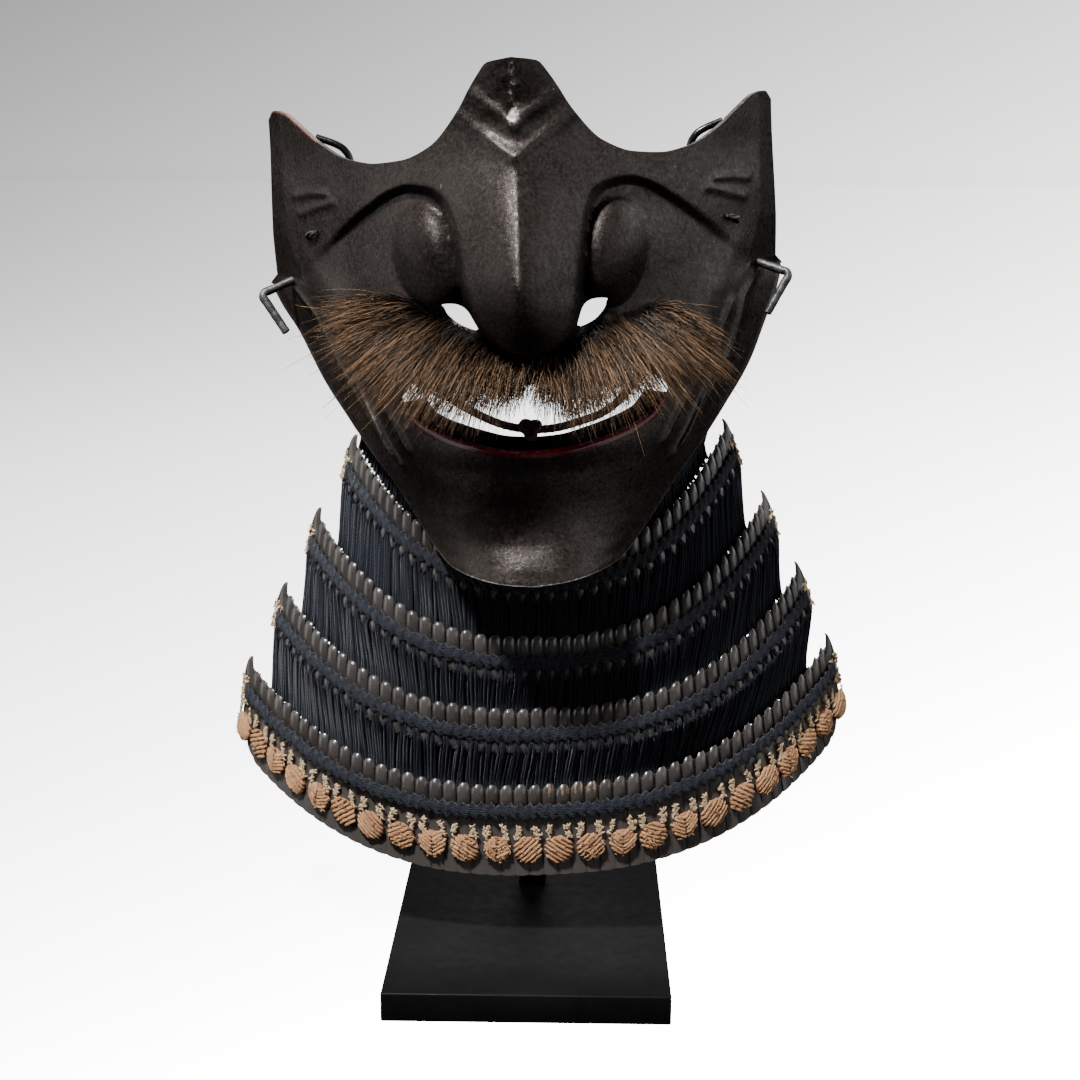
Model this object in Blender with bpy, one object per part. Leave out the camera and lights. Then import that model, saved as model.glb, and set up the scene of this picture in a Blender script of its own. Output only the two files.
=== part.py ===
# Samurai face guard: an iron half mask with a moustache and a throat guard of four laced lames,
# on a small black stand. Sizes are in millimetres, turned to metres by MM where meshes are made.
# +X is the viewer's right, -Y is the front, +Z is up, and the origin is under the middle of the base.

import math

import bmesh
import bpy
import numpy as np
from mathutils import Matrix, Vector

MM = 0.001

# Stand
BASE_WIDTH = 86.0
BASE_LENGTH = 150.0
BASE_HEIGHT = 9.0
POST_SIDE = 9.0
POST_Y = 12.0
POST_TOP = 112.0
POST_SUNK = 4.0
ARM_RADIUS = 1.2
ARM_POINTS = 21
HUB_SIZE = (16.0, 9.0, 7.0)
HUB_Z = 116.4
ARM_ROUTE = [
    (0.0, 12.0, 116.4), (20.0, 15.0, 117.4), (38.0, 24.0, 128.4), (49.0, 34.0, 158.0), (53.0, 41.0, 196.0),
    (55.6, 45.0, 238.0), (56.4, 46.0, 251.0), (58.0, 46.0, 255.2), (61.2, 46.0, 257.6), (67.5, 46.5, 260.0),
]

# The guard hangs on the stand a little askew
HANG_PIVOT = (0.0, 0.0, 130.0)
HANG_LEAN = math.radians(2.6)
HANG_TURN = math.radians(0.7)

GAP = 0.3

# Mask
MASK_HALF_WIDTH = 88.0
MASK_WALL = 1.5
MASK_COLUMNS = 34
# The mask's rows, as shares of the way from its jaw to its top edge, close up under the nose
NOSE_BASE_SHARES = (0.442, 0.463)
LOWER_ROWS = 10
UPPER_ROWS = 12
MOST_WALL_STRETCH = 2.6

# Throat guard
SCALE_PITCH = 4.4
LAME_WALL = 1.8
KNOT_COUNT = 24
KNOT_RADIUS = 4.3
KNOT_PITCH = 9.8

# Height of a level of the mask, y of its front line, and how far the cheek lies behind that line:
# 'set_back' mm at 'half_width' mm from the middle, growing with 'power'
MASK_LEVELS = [
    # height, front_y, half_width, set_back, power
    (126.0, -45.5, 28.0, 24.0, 2.8),
    (133.0, -46.5, 31.0, 27.0, 2.6),
    (140.0, -43.0, 36.0, 30.0, 2.4),
    (150.0, -39.5, 45.0, 42.0, 2.2),
    (158.0, -39.0, 52.0, 48.0, 2.05),
    (165.0, -41.0, 58.0, 57.0, 1.95),
    (180.0, -38.5, 71.0, 75.0, 1.85),
    (195.0, -34.5, 80.0, 85.0, 1.8),
    (211.0, -30.5, 88.0, 94.0, 1.8),
    (235.0, -27.0, 88.0, 91.0, 1.8),
    (252.0, -24.8, 88.0, 89.0, 1.8),
    (280.0, -21.0, 88.0, 88.0, 1.8),
]

# The mask's edges and the fold that runs from under the nose over its wing and out along the cheek
TOP_EDGE = [
    # x, z
    (0.0, 279.3), (7.5, 278.2), (11.0, 274.3), (18.3, 263.2), (26.4, 254.9), (36.0, 251.2), (45.0, 250.6),
    (54.0, 252.0), (66.0, 258.0), (74.0, 264.2), (80.0, 268.4), (85.0, 269.6), (88.0, 267.0),
]
JAW_EDGE = [
    # x, z
    (0.0, 126.2), (8.0, 126.8), (18.0, 128.0), (25.0, 129.2), (29.0, 131.4), (33.0, 135.2), (38.0, 141.0),
    (48.5, 153.5), (61.7, 168.9), (71.0, 180.0), (79.6, 195.4), (85.0, 204.0), (88.0, 210.0),
]
FOLD_LINE = [
    # x, z
    (0.0, 195.5), (9.0, 197.5), (14.2, 201.0), (17.2, 211.0), (18.8, 222.5), (20.5, 232.0), (23.5, 239.0),
    (28.0, 241.8), (34.0, 242.6), (39.0, 241.4), (48.5, 236.0), (57.0, 229.8), (64.5, 223.6), (72.0, 217.0),
    (88.0, 205.0),
]
FOLD_WIDTH = 3.2
FOLD_DEPTH = 4.5
FOLD_REACH = 20.0

# How far the lower face stands to the right of the middle
SWAY = [
    # height, x
    (126.0, 0.5), (150.0, 2.0), (180.0, 2.6), (195.0, 2.2), (205.0, 1.0), (215.0, 0.0), (280.0, 0.0),
]
WING_TAPER = 0.017
WING_TAPER_FROM = 215.0
WING_TAPER_OVER = 50.0

# The nose: y of its ridge and how wide it spreads
NOSE_LEVELS = [
    # height, ridge_y, spread
    (190.0, -51.5, 15.0),
    (200.0, -50.8, 15.5),
    (212.0, -47.0, 17.0),
    (226.0, -41.5, 18.0),
    (238.0, -35.5, 16.0),
    (250.0, -29.5, 12.0),
    (262.0, -25.5, 8.0),
    (280.0, -22.0, 7.0),
]
NOSE_WING = {"x": 28.3, "z": 221.5, "half_width": 10.6, "half_height": 16.5, "tilt": 14.0, "rise": 6.5}
BRIDGE_BOSS = {"x": 0.0, "z": 260.0, "radius": 3.0, "rise": 1.6}
NOSTRIL_SOCKET = {"x": 20.0, "z": 204.5, "radius": 5.5, "rise": -3.0}
CHEEK_BALL = {"x": 65.0, "z": 206.0, "radius": 12.0, "rise": 2.2}
WING_DISH = {"x": 73.0, "z": 252.0, "radius": 9.0, "rise": -2.0}

# Raised lines: wrinkles of the bridge, the temples and the cheeks
RIDGES = [
    # width, rise, points (x, z)
    (2.0, 1.9, [(0.0, 260.5), (8.5, 266.0), (14.5, 270.5)]),
    (2.0, 1.9, [(0.0, 250.5), (9.3, 257.0), (18.5, 264.3)]),
    (1.3, 1.2, [(63.5, 241.7), (70.0, 242.0), (76.0, 241.2)]),
    (1.3, 1.2, [(60.8, 239.0), (67.0, 237.5), (74.0, 235.3)]),
    (1.5, 1.3, [(78.0, 211.0), (71.0, 203.0), (65.3, 189.0), (57.5, 177.0), (50.5, 166.0), (46.0, 160.0)]),
    (1.5, 1.3, [(66.0, 202.0), (61.5, 195.0), (59.5, 185.0), (54.0, 174.5), (48.0, 164.0), (43.0, 157.5)]),
    (1.5, 1.2, [(50.0, 178.0), (44.0, 170.0), (40.0, 163.0)]),
]
FLANGE_LINE = [(73.5, 213.0), (80.0, 228.0), (81.5, 245.0), (82.0, 268.0)]
FLANGE_SLOPE = 0.8
RIM_RISE = 0.9
RIM_WIDTH = 1.8

# Openings, as x and z on the right half
MOUTH_LOWER = [
    (0.0, 163.4), (10.0, 163.8), (20.0, 165.4), (30.0, 167.8), (36.5, 170.6), (40.5, 175.0), (42.5, 179.0),
]
MOUTH_UPPER = [(0.0, 185.0), (20.0, 186.5), (34.0, 185.5), (40.5, 182.5), (42.5, 179.0)]
MOUTH_CORNER = 42.5
MOUTH_UPPER_END = 38.0
NOSTRIL = [
    (14.4, 200.1), (17.5, 200.8), (21.0, 202.4), (24.0, 205.3), (25.5, 207.9), (21.5, 208.2), (18.0, 206.6),
    (16.0, 203.5),
]
CORD_HOLE = [(68.0, 226.0), (70.0, 224.4), (72.6, 225.0), (73.4, 227.8), (71.5, 230.6), (69.0, 229.2)]

# Section of the lower lip: how far inside the shell's face, and how far above its edge
LIP_SECTION = [
    (0.2, 0.35), (0.3, 1.0), (0.9, 1.5), (2.0, 1.3), (3.6, 0.7), (4.4, 1.6), (4.6, 6.0), (5.7, 6.0),
    (6.0, 0.4), (5.0, -1.6), (3.9, -1.6), (3.6, 0.35),
]
LIP_HALF_WIDTH = 37.5
LIP_FLAT_BELOW = 1.6

# The hooks: root, corner and end as x and z, and how far the last two stand before the root
HOOK_RADIUS = 1.4
HOOK_ROOT = (76.5, 213.5)
HOOK_CORNER = (88.3, 209.5, 5.0)
HOOK_END = (80.3, 196.5, 7.0)
HOOK_CORNER_SHARE = 0.12

# The stitch of wire through each cord hole, as x, z and how far out of the mask's face
STITCH_RADIUS = 0.8
STITCH_ROUTE = [
    (66.2, 229.6, 1.3), (68.0, 229.0, 1.9), (70.0, 228.2, 1.2), (70.8, 227.6, -0.6), (71.0, 227.4, -4.0),
]

# The lames. Their head lines run from the middle (front_y, middle_z) to the ends
LAMES = [
    # middle_x, half_width, front_y, set_back, power,
    # middle_z, end_rise, rise_power, height, middle_flare, end_flare
    (3.0, 62.5, -20.0, 47.0, 3.0, 128.0, 33.0, 2.3, 12.6, 0.12, 0.30),
    (2.4, 75.0, -23.5, 47.0, 3.6, 103.9, 33.2, 2.2, 12.6, 0.12, 0.30),
    (1.5, 86.5, -27.0, 46.5, 3.4, 81.8, 31.5, 2.35, 12.6, 0.12, 0.30),
    (-0.2, 98.0, -30.5, 49.0, 3.0, 57.9, 30.3, 2.3, 28.0, 0.15, 0.20),
]
HEAD_NOTCH = 1.7
END_POINT_RISE = 2.5
END_POINT_LENGTH = 8.0
END_ROUNDING = (4.0, 4.0, 4.0, 13.0)
BRAID_DROP = 8.5
BRAID_HALF_HEIGHT = 2.4
BRAID_HALF_DEPTH = 1.1
LACING_DROP = 10.9
LACING_WALL = 1.2
LACING_TUCK = 3.2
JAW_LAP = 4.0
KNOT_DROP = 20.8
# The knots' faces: how far out of the plate, and how wide as a share of their radius
KNOT_RINGS = ((GAP, 0.9), (GAP + 1.2, 1.0))
KNOT_RISE = 2.2
CURTAIN_STATIONS = 29
CURTAIN_END = 0.98
FIRST_CURTAIN_HALF_WIDTH = 58.0

# The moustache's halves, from the middle outward: where the hair is rooted and where it ends
MOUSTACHE_LEFT = [
    # root_x, root_z, tip_x, tip_y, tip_z
    (1.0, 187.5, 1.0, -48.0, 176.0),
    (-5.5, 188.0, -6.5, -49.5, 175.5),
    (-11.0, 189.5, -16.5, -48.5, 175.5),
    (-16.0, 191.5, -25.5, -45.0, 173.5),
    (-20.5, 193.5, -34.5, -39.0, 173.0),
    (-24.5, 195.5, -43.0, -31.0, 179.0),
    (-28.0, 197.5, -50.5, -25.0, 186.0),
    (-31.0, 199.5, -56.0, -19.0, 193.5),
    (-33.5, 201.5, -58.0, -13.0, 202.0),
    (-35.5, 203.5, -56.0, -9.0, 210.0),
]
MOUSTACHE_RIGHT = [
    # root_x, root_z, tip_x, tip_y, tip_z
    (2.8, 187.5, 3.4, -48.0, 175.5),
    (9.0, 188.0, 13.5, -49.5, 174.0),
    (15.0, 189.0, 22.5, -48.0, 175.0),
    (20.5, 190.5, 32.0, -44.0, 177.0),
    (25.5, 192.0, 41.0, -38.0, 178.5),
    (30.0, 193.0, 52.0, -29.0, 179.5),
    (34.0, 194.0, 61.0, -21.0, 182.0),
    (37.0, 194.8, 66.5, -14.0, 186.0),
    (39.0, 195.6, 62.0, -13.0, 190.5),
]
LOCK_COUNT = 9
LOCK_COLUMNS = 3
# Half the thickness of the hair from root to tip, and how far its middle bulges forward and up
HAIR_HALF_THICKNESS = (1.8, 3.2, 3.4, 2.4, 0.8)
HAIR_BULGE = (0.0, -3.0, 2.5)
EDGE_THINNING = 0.4

# From one wing's rim down inside the cheek, over the lower lip and up to the other wing
TYING_CORD_RADIUS = 1.3
TYING_CORD_POINTS = 33
TYING_CORD_ROUTE = [
    (-79.0, 66.0, 262.5), (-72.0, 56.0, 255.5), (-64.0, 45.0, 244.0), (-58.0, 34.0, 226.0),
    (-47.0, 16.0, 203.0), (-31.0, -6.0, 185.0), (-14.0, -24.0, 175.5), (0.0, -30.0, 172.5),
    (14.0, -25.0, 175.0), (31.0, -8.0, 183.0), (47.0, 14.0, 199.0), (58.0, 32.0, 219.0),
    (66.0, 46.0, 240.0), (73.0, 57.0, 256.0), (79.0, 66.0, 262.5),
]


def smooth(table, x, column=1):
    """A curve through the table's points that turns back only where they do."""
    rows = np.array([(row[0], row[column]) for row in table], float)
    xs, ys = rows[:, 0], rows[:, 1]
    step = np.diff(ys) / np.diff(xs)
    slope = np.concatenate([[step[0]], np.zeros(len(xs) - 2), [step[-1]]])
    same_way = step[:-1] * step[1:] > 0
    mean = 2 * step[:-1] * step[1:] / np.where(same_way, step[:-1] + step[1:], 1)
    slope[1:-1] = np.where(same_way, mean, 0)
    i = np.clip(np.searchsorted(xs, x) - 1, 0, len(xs) - 2)
    width = xs[i + 1] - xs[i]
    t = np.clip((x - xs[i]) / width, 0, 1)
    return (
        ys[i] * (1 + 2 * t) * (1 - t) ** 2
        + slope[i] * width * t * (1 - t) ** 2
        + ys[i + 1] * t * t * (3 - 2 * t)
        - slope[i + 1] * width * t * t * (1 - t)
    )


def smooth_step(t):
    t = np.clip(t, 0, 1)
    return t * t * (3 - 2 * t)


def bump(x, z, spot):
    """A round rise, or a hollow where 'rise' is negative."""
    away = ((x - spot["x"]) ** 2 + (z - spot["z"]) ** 2) / spot["radius"] ** 2
    return spot["rise"] * np.exp(-away)


def distance_to_line(x, z, points):
    nearest = np.full(np.shape(x), np.inf)
    for (ax, az), (bx, bz) in zip(points, points[1:]):
        along = ((x - ax) * (bx - ax) + (z - az) * (bz - az)) / ((bx - ax) ** 2 + (bz - az) ** 2)
        along = np.clip(along, 0, 1)
        away = np.hypot(x - ax - along * (bx - ax), z - az - along * (bz - az))
        nearest = np.minimum(nearest, away)
    return nearest


def plain_face(x, z):
    """y of the mask without its features."""
    front, half, back, power = (smooth(MASK_LEVELS, z, column) for column in (1, 2, 3, 4))
    return front + back * (x / half) ** power


def nose_wing(x, z):
    tilt = math.radians(NOSE_WING["tilt"])
    across = (x - NOSE_WING["x"]) * math.cos(tilt) - (z - NOSE_WING["z"]) * math.sin(tilt)
    along = (x - NOSE_WING["x"]) * math.sin(tilt) + (z - NOSE_WING["z"]) * math.cos(tilt)
    away = (across / NOSE_WING["half_width"]) ** 2 + (along / NOSE_WING["half_height"]) ** 2
    return NOSE_WING["rise"] * np.clip(1 - away, 0, 1) ** 0.7


def mask_face(x, z):
    """y of the mask's outer face at x and z."""
    x = np.abs(x)
    plain = plain_face(x, z)

    ridge = smooth(NOSE_LEVELS, z, 1)
    spread = smooth(NOSE_LEVELS, z, 2)
    nose = (plain_face(np.zeros_like(x), z) - ridge) * np.exp(-((x / spread) ** 1.7))
    upper = plain - nose - bump(x, z, BRIDGE_BOSS)

    fold_z = smooth(FOLD_LINE, x)
    fold_slope = (smooth(FOLD_LINE, x + 0.2) - smooth(FOLD_LINE, x - 0.2)) / 0.4
    above_fold = (z - fold_z) / np.hypot(1, fold_slope)
    fade = 1 - smooth_step((x - 60) / 14)
    hollow = FOLD_DEPTH * fade * np.exp(-np.maximum(-above_fold, 0) / FOLD_REACH)
    lower = plain + hollow - nose_wing(x, z) - bump(x, z, NOSTRIL_SOCKET) - bump(x, z, CHEEK_BALL)

    face = lower + (upper - lower) * smooth_step(above_fold / FOLD_WIDTH + 0.5)
    face = face - bump(x, z, WING_DISH)
    for width, rise, points in RIDGES:
        face = face - rise * np.exp(-((distance_to_line(x, z, points) / width) ** 2))
    flange_x = np.interp(z, [row[1] for row in FLANGE_LINE], [row[0] for row in FLANGE_LINE], left=99)
    face = face + FLANGE_SLOPE * np.maximum(x - flange_x, 0)
    rim = np.exp(-(((z - smooth(JAW_EDGE, x)) / RIM_WIDTH) ** 2))
    return face - RIM_RISE * rim


def face_y(x, z):
    return float(mask_face(np.array([x], float), np.array([z], float))[0])


def face_out(x, z):
    """The unit vector out of the mask's outer face."""
    d = 0.5
    slope_x = (face_y(x + d, z) - face_y(x - d, z)) / (2 * d)
    slope_z = (face_y(x, z + d) - face_y(x, z - d)) / (2 * d)
    return Vector((slope_x, -1, slope_z)).normalized()


def sway(z):
    return smooth(SWAY, z)


def shifted(x, z):
    """Where a point of the even face lies on the mask, which is a little crooked and narrows to its tips."""
    narrowed = 1 - WING_TAPER * smooth_step((z - WING_TAPER_FROM) / WING_TAPER_OVER)
    return x * narrowed + sway(z)


def on_face(x, z, out=0.0):
    return Vector((float(shifted(x, z)), face_y(x, z), z)) + face_out(x, z) * out


def material(name, color, metallic, roughness):
    found = bpy.data.materials.new(name)
    found.use_nodes = True
    shader = found.node_tree.nodes["Principled BSDF"]
    shader.inputs["Base Color"].default_value = (*color, 1)
    shader.inputs["Metallic"].default_value = metallic
    shader.inputs["Roughness"].default_value = roughness
    return found


def place(name, data, finish, hung=True):
    """An object of this mesh or curve. What is hung follows the lean of the guard on its stand."""
    obj = bpy.data.objects.new(name, data)
    bpy.context.scene.collection.objects.link(obj)
    if finish:
        data.materials.append(finish)
    if hung:
        obj.parent = hanger
        obj.matrix_parent_inverse = Matrix.Translation(-Vector(HANG_PIVOT) * MM)
    return obj


def solid(name, points, faces, finish, hung=True, smooth_angle=None):
    mesh = bpy.data.meshes.new(name)
    mesh.from_pydata([Vector(point) * MM for point in points], [], faces)
    edit = bmesh.new()
    edit.from_mesh(mesh)
    bmesh.ops.recalc_face_normals(edit, faces=edit.faces)
    edit.to_mesh(mesh)
    edit.free()
    if smooth_angle:
        mesh.shade_smooth()
        mesh.set_sharp_from_angle(angle=math.radians(smooth_angle))
    return place(name, mesh, finish, hung)


def wire(name, points, radius, finish, hung=True, bevel_resolution=2):
    """A round wire or cord along the points."""
    data = bpy.data.curves.new(name, "CURVE")
    data.dimensions = "3D"
    data.bevel_depth = radius * MM
    data.bevel_resolution = bevel_resolution
    data.use_fill_caps = True
    spline = data.splines.new("POLY")
    spline.points.add(len(points) - 1)
    for target, point in zip(spline.points, points):
        target.co = (*(Vector(point) * MM), 1)
    return place(name, data, finish, hung)


def rounded(points, count):
    """A smooth line through the points, as Catmull-Rom pieces."""
    points = [Vector(point) for point in points]
    padded = [2 * points[0] - points[1], *points, 2 * points[-1] - points[-2]]
    line = []
    for k in range(count):
        place_on = k / (count - 1) * (len(points) - 1)
        i = min(int(place_on), len(points) - 2)
        t = place_on - i
        a, b, c, d = padded[i : i + 4]
        line.append(
            0.5 * (2 * b + (c - a) * t + (2 * a - 5 * b + 4 * c - d) * t**2 + (3 * b - a - 3 * c + d) * t**3)
        )
    return line


def mirrored(points):
    return [(-point[0], *point[1:]) for point in points]


def prism(name, outline, front, back):
    """A cutter: this outline in x and z, run from front to back."""
    count = len(outline)
    outline = [(float(shifted(x, z)), z) for x, z in outline]
    area = sum(a[0] * b[1] - b[0] * a[1] for a, b in zip(outline, outline[1:] + outline[:1]))
    if area < 0:
        outline = outline[::-1]
    points = [(x, front, z) for x, z in outline] + [(x, back, z) for x, z in outline]
    ends = [tuple(range(count)), tuple(range(2 * count - 1, count - 1, -1))]
    sides = [(k, count + k, count + (k + 1) % count, (k + 1) % count) for k in range(count)]
    cutter = solid(name, points, ends + sides, None)
    cutter.hide_render = True
    cutter.display_type = "WIRE"
    return cutter


def boolean(target, operation, other):
    modifier = target.modifiers.new(f"{operation.lower()} {other.name}", "BOOLEAN")
    modifier.operation = operation
    modifier.solver = "EXACT"
    modifier.object = other


def rim_faces(columns, rows, behind):
    """The faces that join two grids of points all round, the second grid 'behind' the first."""
    ring = [i * rows for i in range(columns)]
    ring += [(columns - 1) * rows + j for j in range(1, rows)]
    ring += [i * rows + rows - 1 for i in range(columns - 2, -1, -1)]
    ring += list(range(rows - 2, 0, -1))
    return [(a, behind + a, behind + b, b) for a, b in zip(ring, ring[1:] + ring[:1])]


def make_mask(iron):
    spread = np.linspace(-1, 1, MASK_COLUMNS + 1)
    columns = MASK_HALF_WIDTH * (1.25 * spread - 0.25 * spread**3)
    below_nose, above_nose = NOSE_BASE_SHARES
    rows = np.concatenate([np.linspace(0, below_nose, LOWER_ROWS), np.linspace(above_nose, 1, UPPER_ROWS)])
    low, high = smooth(JAW_EDGE, abs(columns)), smooth(TOP_EDGE, abs(columns))
    x, share = np.meshgrid(columns, rows, indexing="ij")
    z = low[:, None] + (high - low)[:, None] * share
    outer = mask_face(x, z)
    d = 0.5
    slope_x = (mask_face(x + d, z) - mask_face(x - d, z)) / (2 * d)
    slope_z = (mask_face(x, z + d) - mask_face(x, z - d)) / (2 * d)
    wall = MASK_WALL * np.minimum(np.sqrt(1 + slope_x**2 + slope_z**2), MOST_WALL_STRETCH)

    x = shifted(x, z)
    points = [*zip(x.ravel(), outer.ravel(), z.ravel()), *zip(x.ravel(), (outer + wall).ravel(), z.ravel())]
    height, behind = len(rows), x.size
    faces = []
    for i in range(MASK_COLUMNS):
        for j in range(height - 1):
            a, b, c, d = i * height + j, (i + 1) * height + j, (i + 1) * height + j + 1, i * height + j + 1
            faces.append((a, b, c, d))
            faces.append((behind + d, behind + c, behind + b, behind + a))
    faces += rim_faces(MASK_COLUMNS + 1, height, behind)
    shell = solid("mask_shell", points, faces, iron, smooth_angle=50)

    lower_xs = np.linspace(-MOUTH_CORNER, MOUTH_CORNER, 19)
    upper_xs = np.linspace(MOUTH_UPPER_END, -MOUTH_UPPER_END, 13)
    lower = [(x, float(smooth(MOUTH_LOWER, abs(x)))) for x in lower_xs]
    upper = [(x, float(smooth(MOUTH_UPPER, abs(x)))) for x in upper_xs]
    boolean(shell, "DIFFERENCE", prism("mouth_cutter", lower + upper, -70, 40))
    for side, turn in (("left", mirrored), ("right", list)):
        boolean(shell, "DIFFERENCE", prism(f"nostril_cutter_{side}", turn(NOSTRIL), -70, 10))
        boolean(shell, "DIFFERENCE", prism(f"cord_hole_cutter_{side}", turn(CORD_HOLE), 10, 70))


def make_lower_lip(lacquer):
    stations = np.linspace(-LIP_HALF_WIDTH, LIP_HALF_WIDTH, 15)
    count = len(LIP_SECTION)
    points, faces = [], []
    for x in stations:
        z = float(smooth(MOUTH_LOWER, abs(x)))
        out = face_out(x, z - 1)
        inward = Vector((-out.x, -out.y, 0)).normalized()
        start = on_face(x, z)
        height = 1 - 0.4 * abs(x / LIP_HALF_WIDTH) ** 3
        for depth, up in LIP_SECTION:
            rise = up * height if up > LIP_FLAT_BELOW else up
            points.append(start + inward * depth + Vector((0, 0, rise)))
    for i in range(len(stations) - 1):
        for k in range(count):
            a, b = i * count + k, i * count + (k + 1) % count
            faces.append((a, b, b + count, a + count))
    faces.append(tuple(range(count - 1, -1, -1)))
    faces.append(tuple(range(len(points) - count, len(points))))
    solid("lower_lip", points, faces, lacquer)


def make_hooks(iron):
    for side, sign in (("left", -1), ("right", 1)):
        root = on_face(sign * HOOK_ROOT[0], HOOK_ROOT[1], HOOK_RADIUS + GAP)
        corner, end = (Vector((sign * x, root.y - before, z)) for x, z, before in (HOOK_CORNER, HOOK_END))
        line = [root, corner.lerp(root, HOOK_CORNER_SHARE), corner.lerp(end, HOOK_CORNER_SHARE), end]
        wire(f"hook_{side}", line, HOOK_RADIUS, iron)


def make_cord_stitches(iron):
    for side, sign in (("left", -1), ("right", 1)):
        line = rounded([on_face(sign * x, z, out) for x, z, out in STITCH_ROUTE], 8)
        wire(f"cord_stitch_{side}", line, STITCH_RADIUS, iron, bevel_resolution=1)


def make_moustache(hair):
    """Each half is one sheet of hair, thicker along each lock and longer at its tip."""
    for side, table in (("left", MOUSTACHE_LEFT), ("right", MOUSTACHE_RIGHT)):
        rows, columns = len(HAIR_HALF_THICKNESS), LOCK_COUNT * LOCK_COLUMNS + 1
        order = list(range(len(table)))
        middle = []
        for u in np.linspace(0, 1, columns):
            at = u * order[-1]
            root_x, root_z, *tip = (float(np.interp(at, order, [row[k] for row in table])) for k in range(5))
            root = on_face(root_x, root_z, HAIR_HALF_THICKNESS[0] + 3 * GAP)
            length = 0.92 + 0.08 * math.cos(2 * math.pi * LOCK_COUNT * (u + 0.5 / LOCK_COUNT))
            tip = root.lerp(Vector(tip), length)
            middle.append(rounded([root, root.lerp(tip, 0.45) + Vector(HAIR_BULGE), tip], rows))

        fronts, backs = [], []
        for i, line in enumerate(middle):
            lock = 0.8 - 0.2 * math.cos(2 * math.pi * i / LOCK_COLUMNS)
            edge = EDGE_THINNING if i in (0, columns - 1) else 1
            for j, point in enumerate(line):
                across = middle[min(i + 1, columns - 1)][j] - middle[max(i - 1, 0)][j]
                down = line[min(j + 1, rows - 1)] - line[max(j - 1, 0)]
                out = across.cross(down).normalized()
                out = out if out.y < 0 else -out
                fronts.append(point + out * HAIR_HALF_THICKNESS[j] * lock * edge)
                backs.append(point - out * HAIR_HALF_THICKNESS[j] * lock * edge)

        faces, behind = [], len(fronts)
        for i in range(columns - 1):
            for j in range(rows - 1):
                a, b = i * rows + j, (i + 1) * rows + j
                faces.append((a, a + 1, b + 1, b))
                faces.append((behind + a, behind + b, behind + b + 1, behind + a + 1))
        faces += rim_faces(columns, rows, behind)
        solid(f"moustache_{side}", fronts + backs, faces, hair, smooth_angle=70)


class Lame:
    """A place on a lame is given by its way along the head line, from -1 to 1, how far it lies below that
    line, and how far out of the lame's outer face."""

    def __init__(self, row):
        self.middle_x, self.half_width, self.front_y, self.set_back, self.power = row[:5]
        self.middle_z, self.end_rise, self.rise_power, self.height = row[5:9]
        self.middle_flare, self.end_flare = row[9:]
        x = np.linspace(0, 1, 400)
        y = self.set_back * x**self.power
        run = np.hypot(np.diff(x * self.half_width), np.diff(y))
        self.shares = np.concatenate([[0], np.cumsum(run)])
        self.half_length = float(self.shares[-1])
        self.xs = x

    def along_of(self, x):
        run = float(np.interp(abs(x - self.middle_x) / self.half_width, self.xs, self.shares))
        return math.copysign(run / self.half_length, x - self.middle_x)

    def at(self, along, below, out):
        share = float(np.interp(abs(along) * self.half_length, self.shares, self.xs))
        sign = 1 if along >= 0 else -1
        x = sign * share * self.half_width
        y = self.front_y + self.set_back * share**self.power
        slope = sign * self.power * self.set_back / self.half_width * share ** (self.power - 1)
        z = self.middle_z + self.end_rise * share**self.rise_power
        outward = Vector((slope, -1, 0)).normalized()
        flare = self.middle_flare + (self.end_flare - self.middle_flare) * share**2
        return Vector((self.middle_x + x, y, z - below)) + outward * (out + flare * below)


def lame_bottom(lame, along, rounding):
    """How far down the plate runs: its lower corners are rounded."""
    left = max(0.0, 1 - abs(along)) * lame.half_length
    if left >= rounding:
        return lame.height
    return lame.height - rounding * (1 - math.sqrt(1 - (1 - left / rounding) ** 2))


def head_top(lame, along):
    """The end scales rise to a point."""
    left = max(0.0, 1 - abs(along)) * lame.half_length
    return -END_POINT_RISE * max(0.0, 1 - left / END_POINT_LENGTH)


def make_lame(number, lame, lacquer):
    """A plate whose top edge is a row of round scale heads."""
    heads = 2 * round(lame.half_length / SCALE_PITCH)
    points, faces = [], []
    width = 2 / heads

    def corner(along, below):
        points.append(lame.at(along, below, 0))
        points.append(lame.at(along, below, -LAME_WALL))
        return len(points) - 2

    def column(along):
        top = corner(along, head_top(lame, along) + HEAD_NOTCH)
        low = corner(along, lame_bottom(lame, along, END_ROUNDING[number - 1]))
        return top, low

    notch, foot = column(-1)
    first = (notch, foot)
    for k in range(heads):
        start = -1 + k * width
        rise = [corner(start + width * part, head_top(lame, start + width * part)) for part in (0.25, 0.75)]
        next_notch, next_foot = column(start + width)
        upper = [notch, *rise, next_notch]
        faces.append((foot, next_foot, next_notch, rise[1], rise[0], notch))
        faces.append((foot + 1, notch + 1, rise[0] + 1, rise[1] + 1, next_notch + 1, next_foot + 1))
        for a, b in zip(upper, upper[1:]):
            faces.append((a, b, b + 1, a + 1))
        faces.append((foot, foot + 1, next_foot + 1, next_foot))
        notch, foot = next_notch, next_foot
    faces.append((first[0], first[0] + 1, first[1] + 1, first[1]))
    faces.append((notch, foot, foot + 1, notch + 1))
    solid(f"lame_{number}", points, faces, lacquer)


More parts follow.
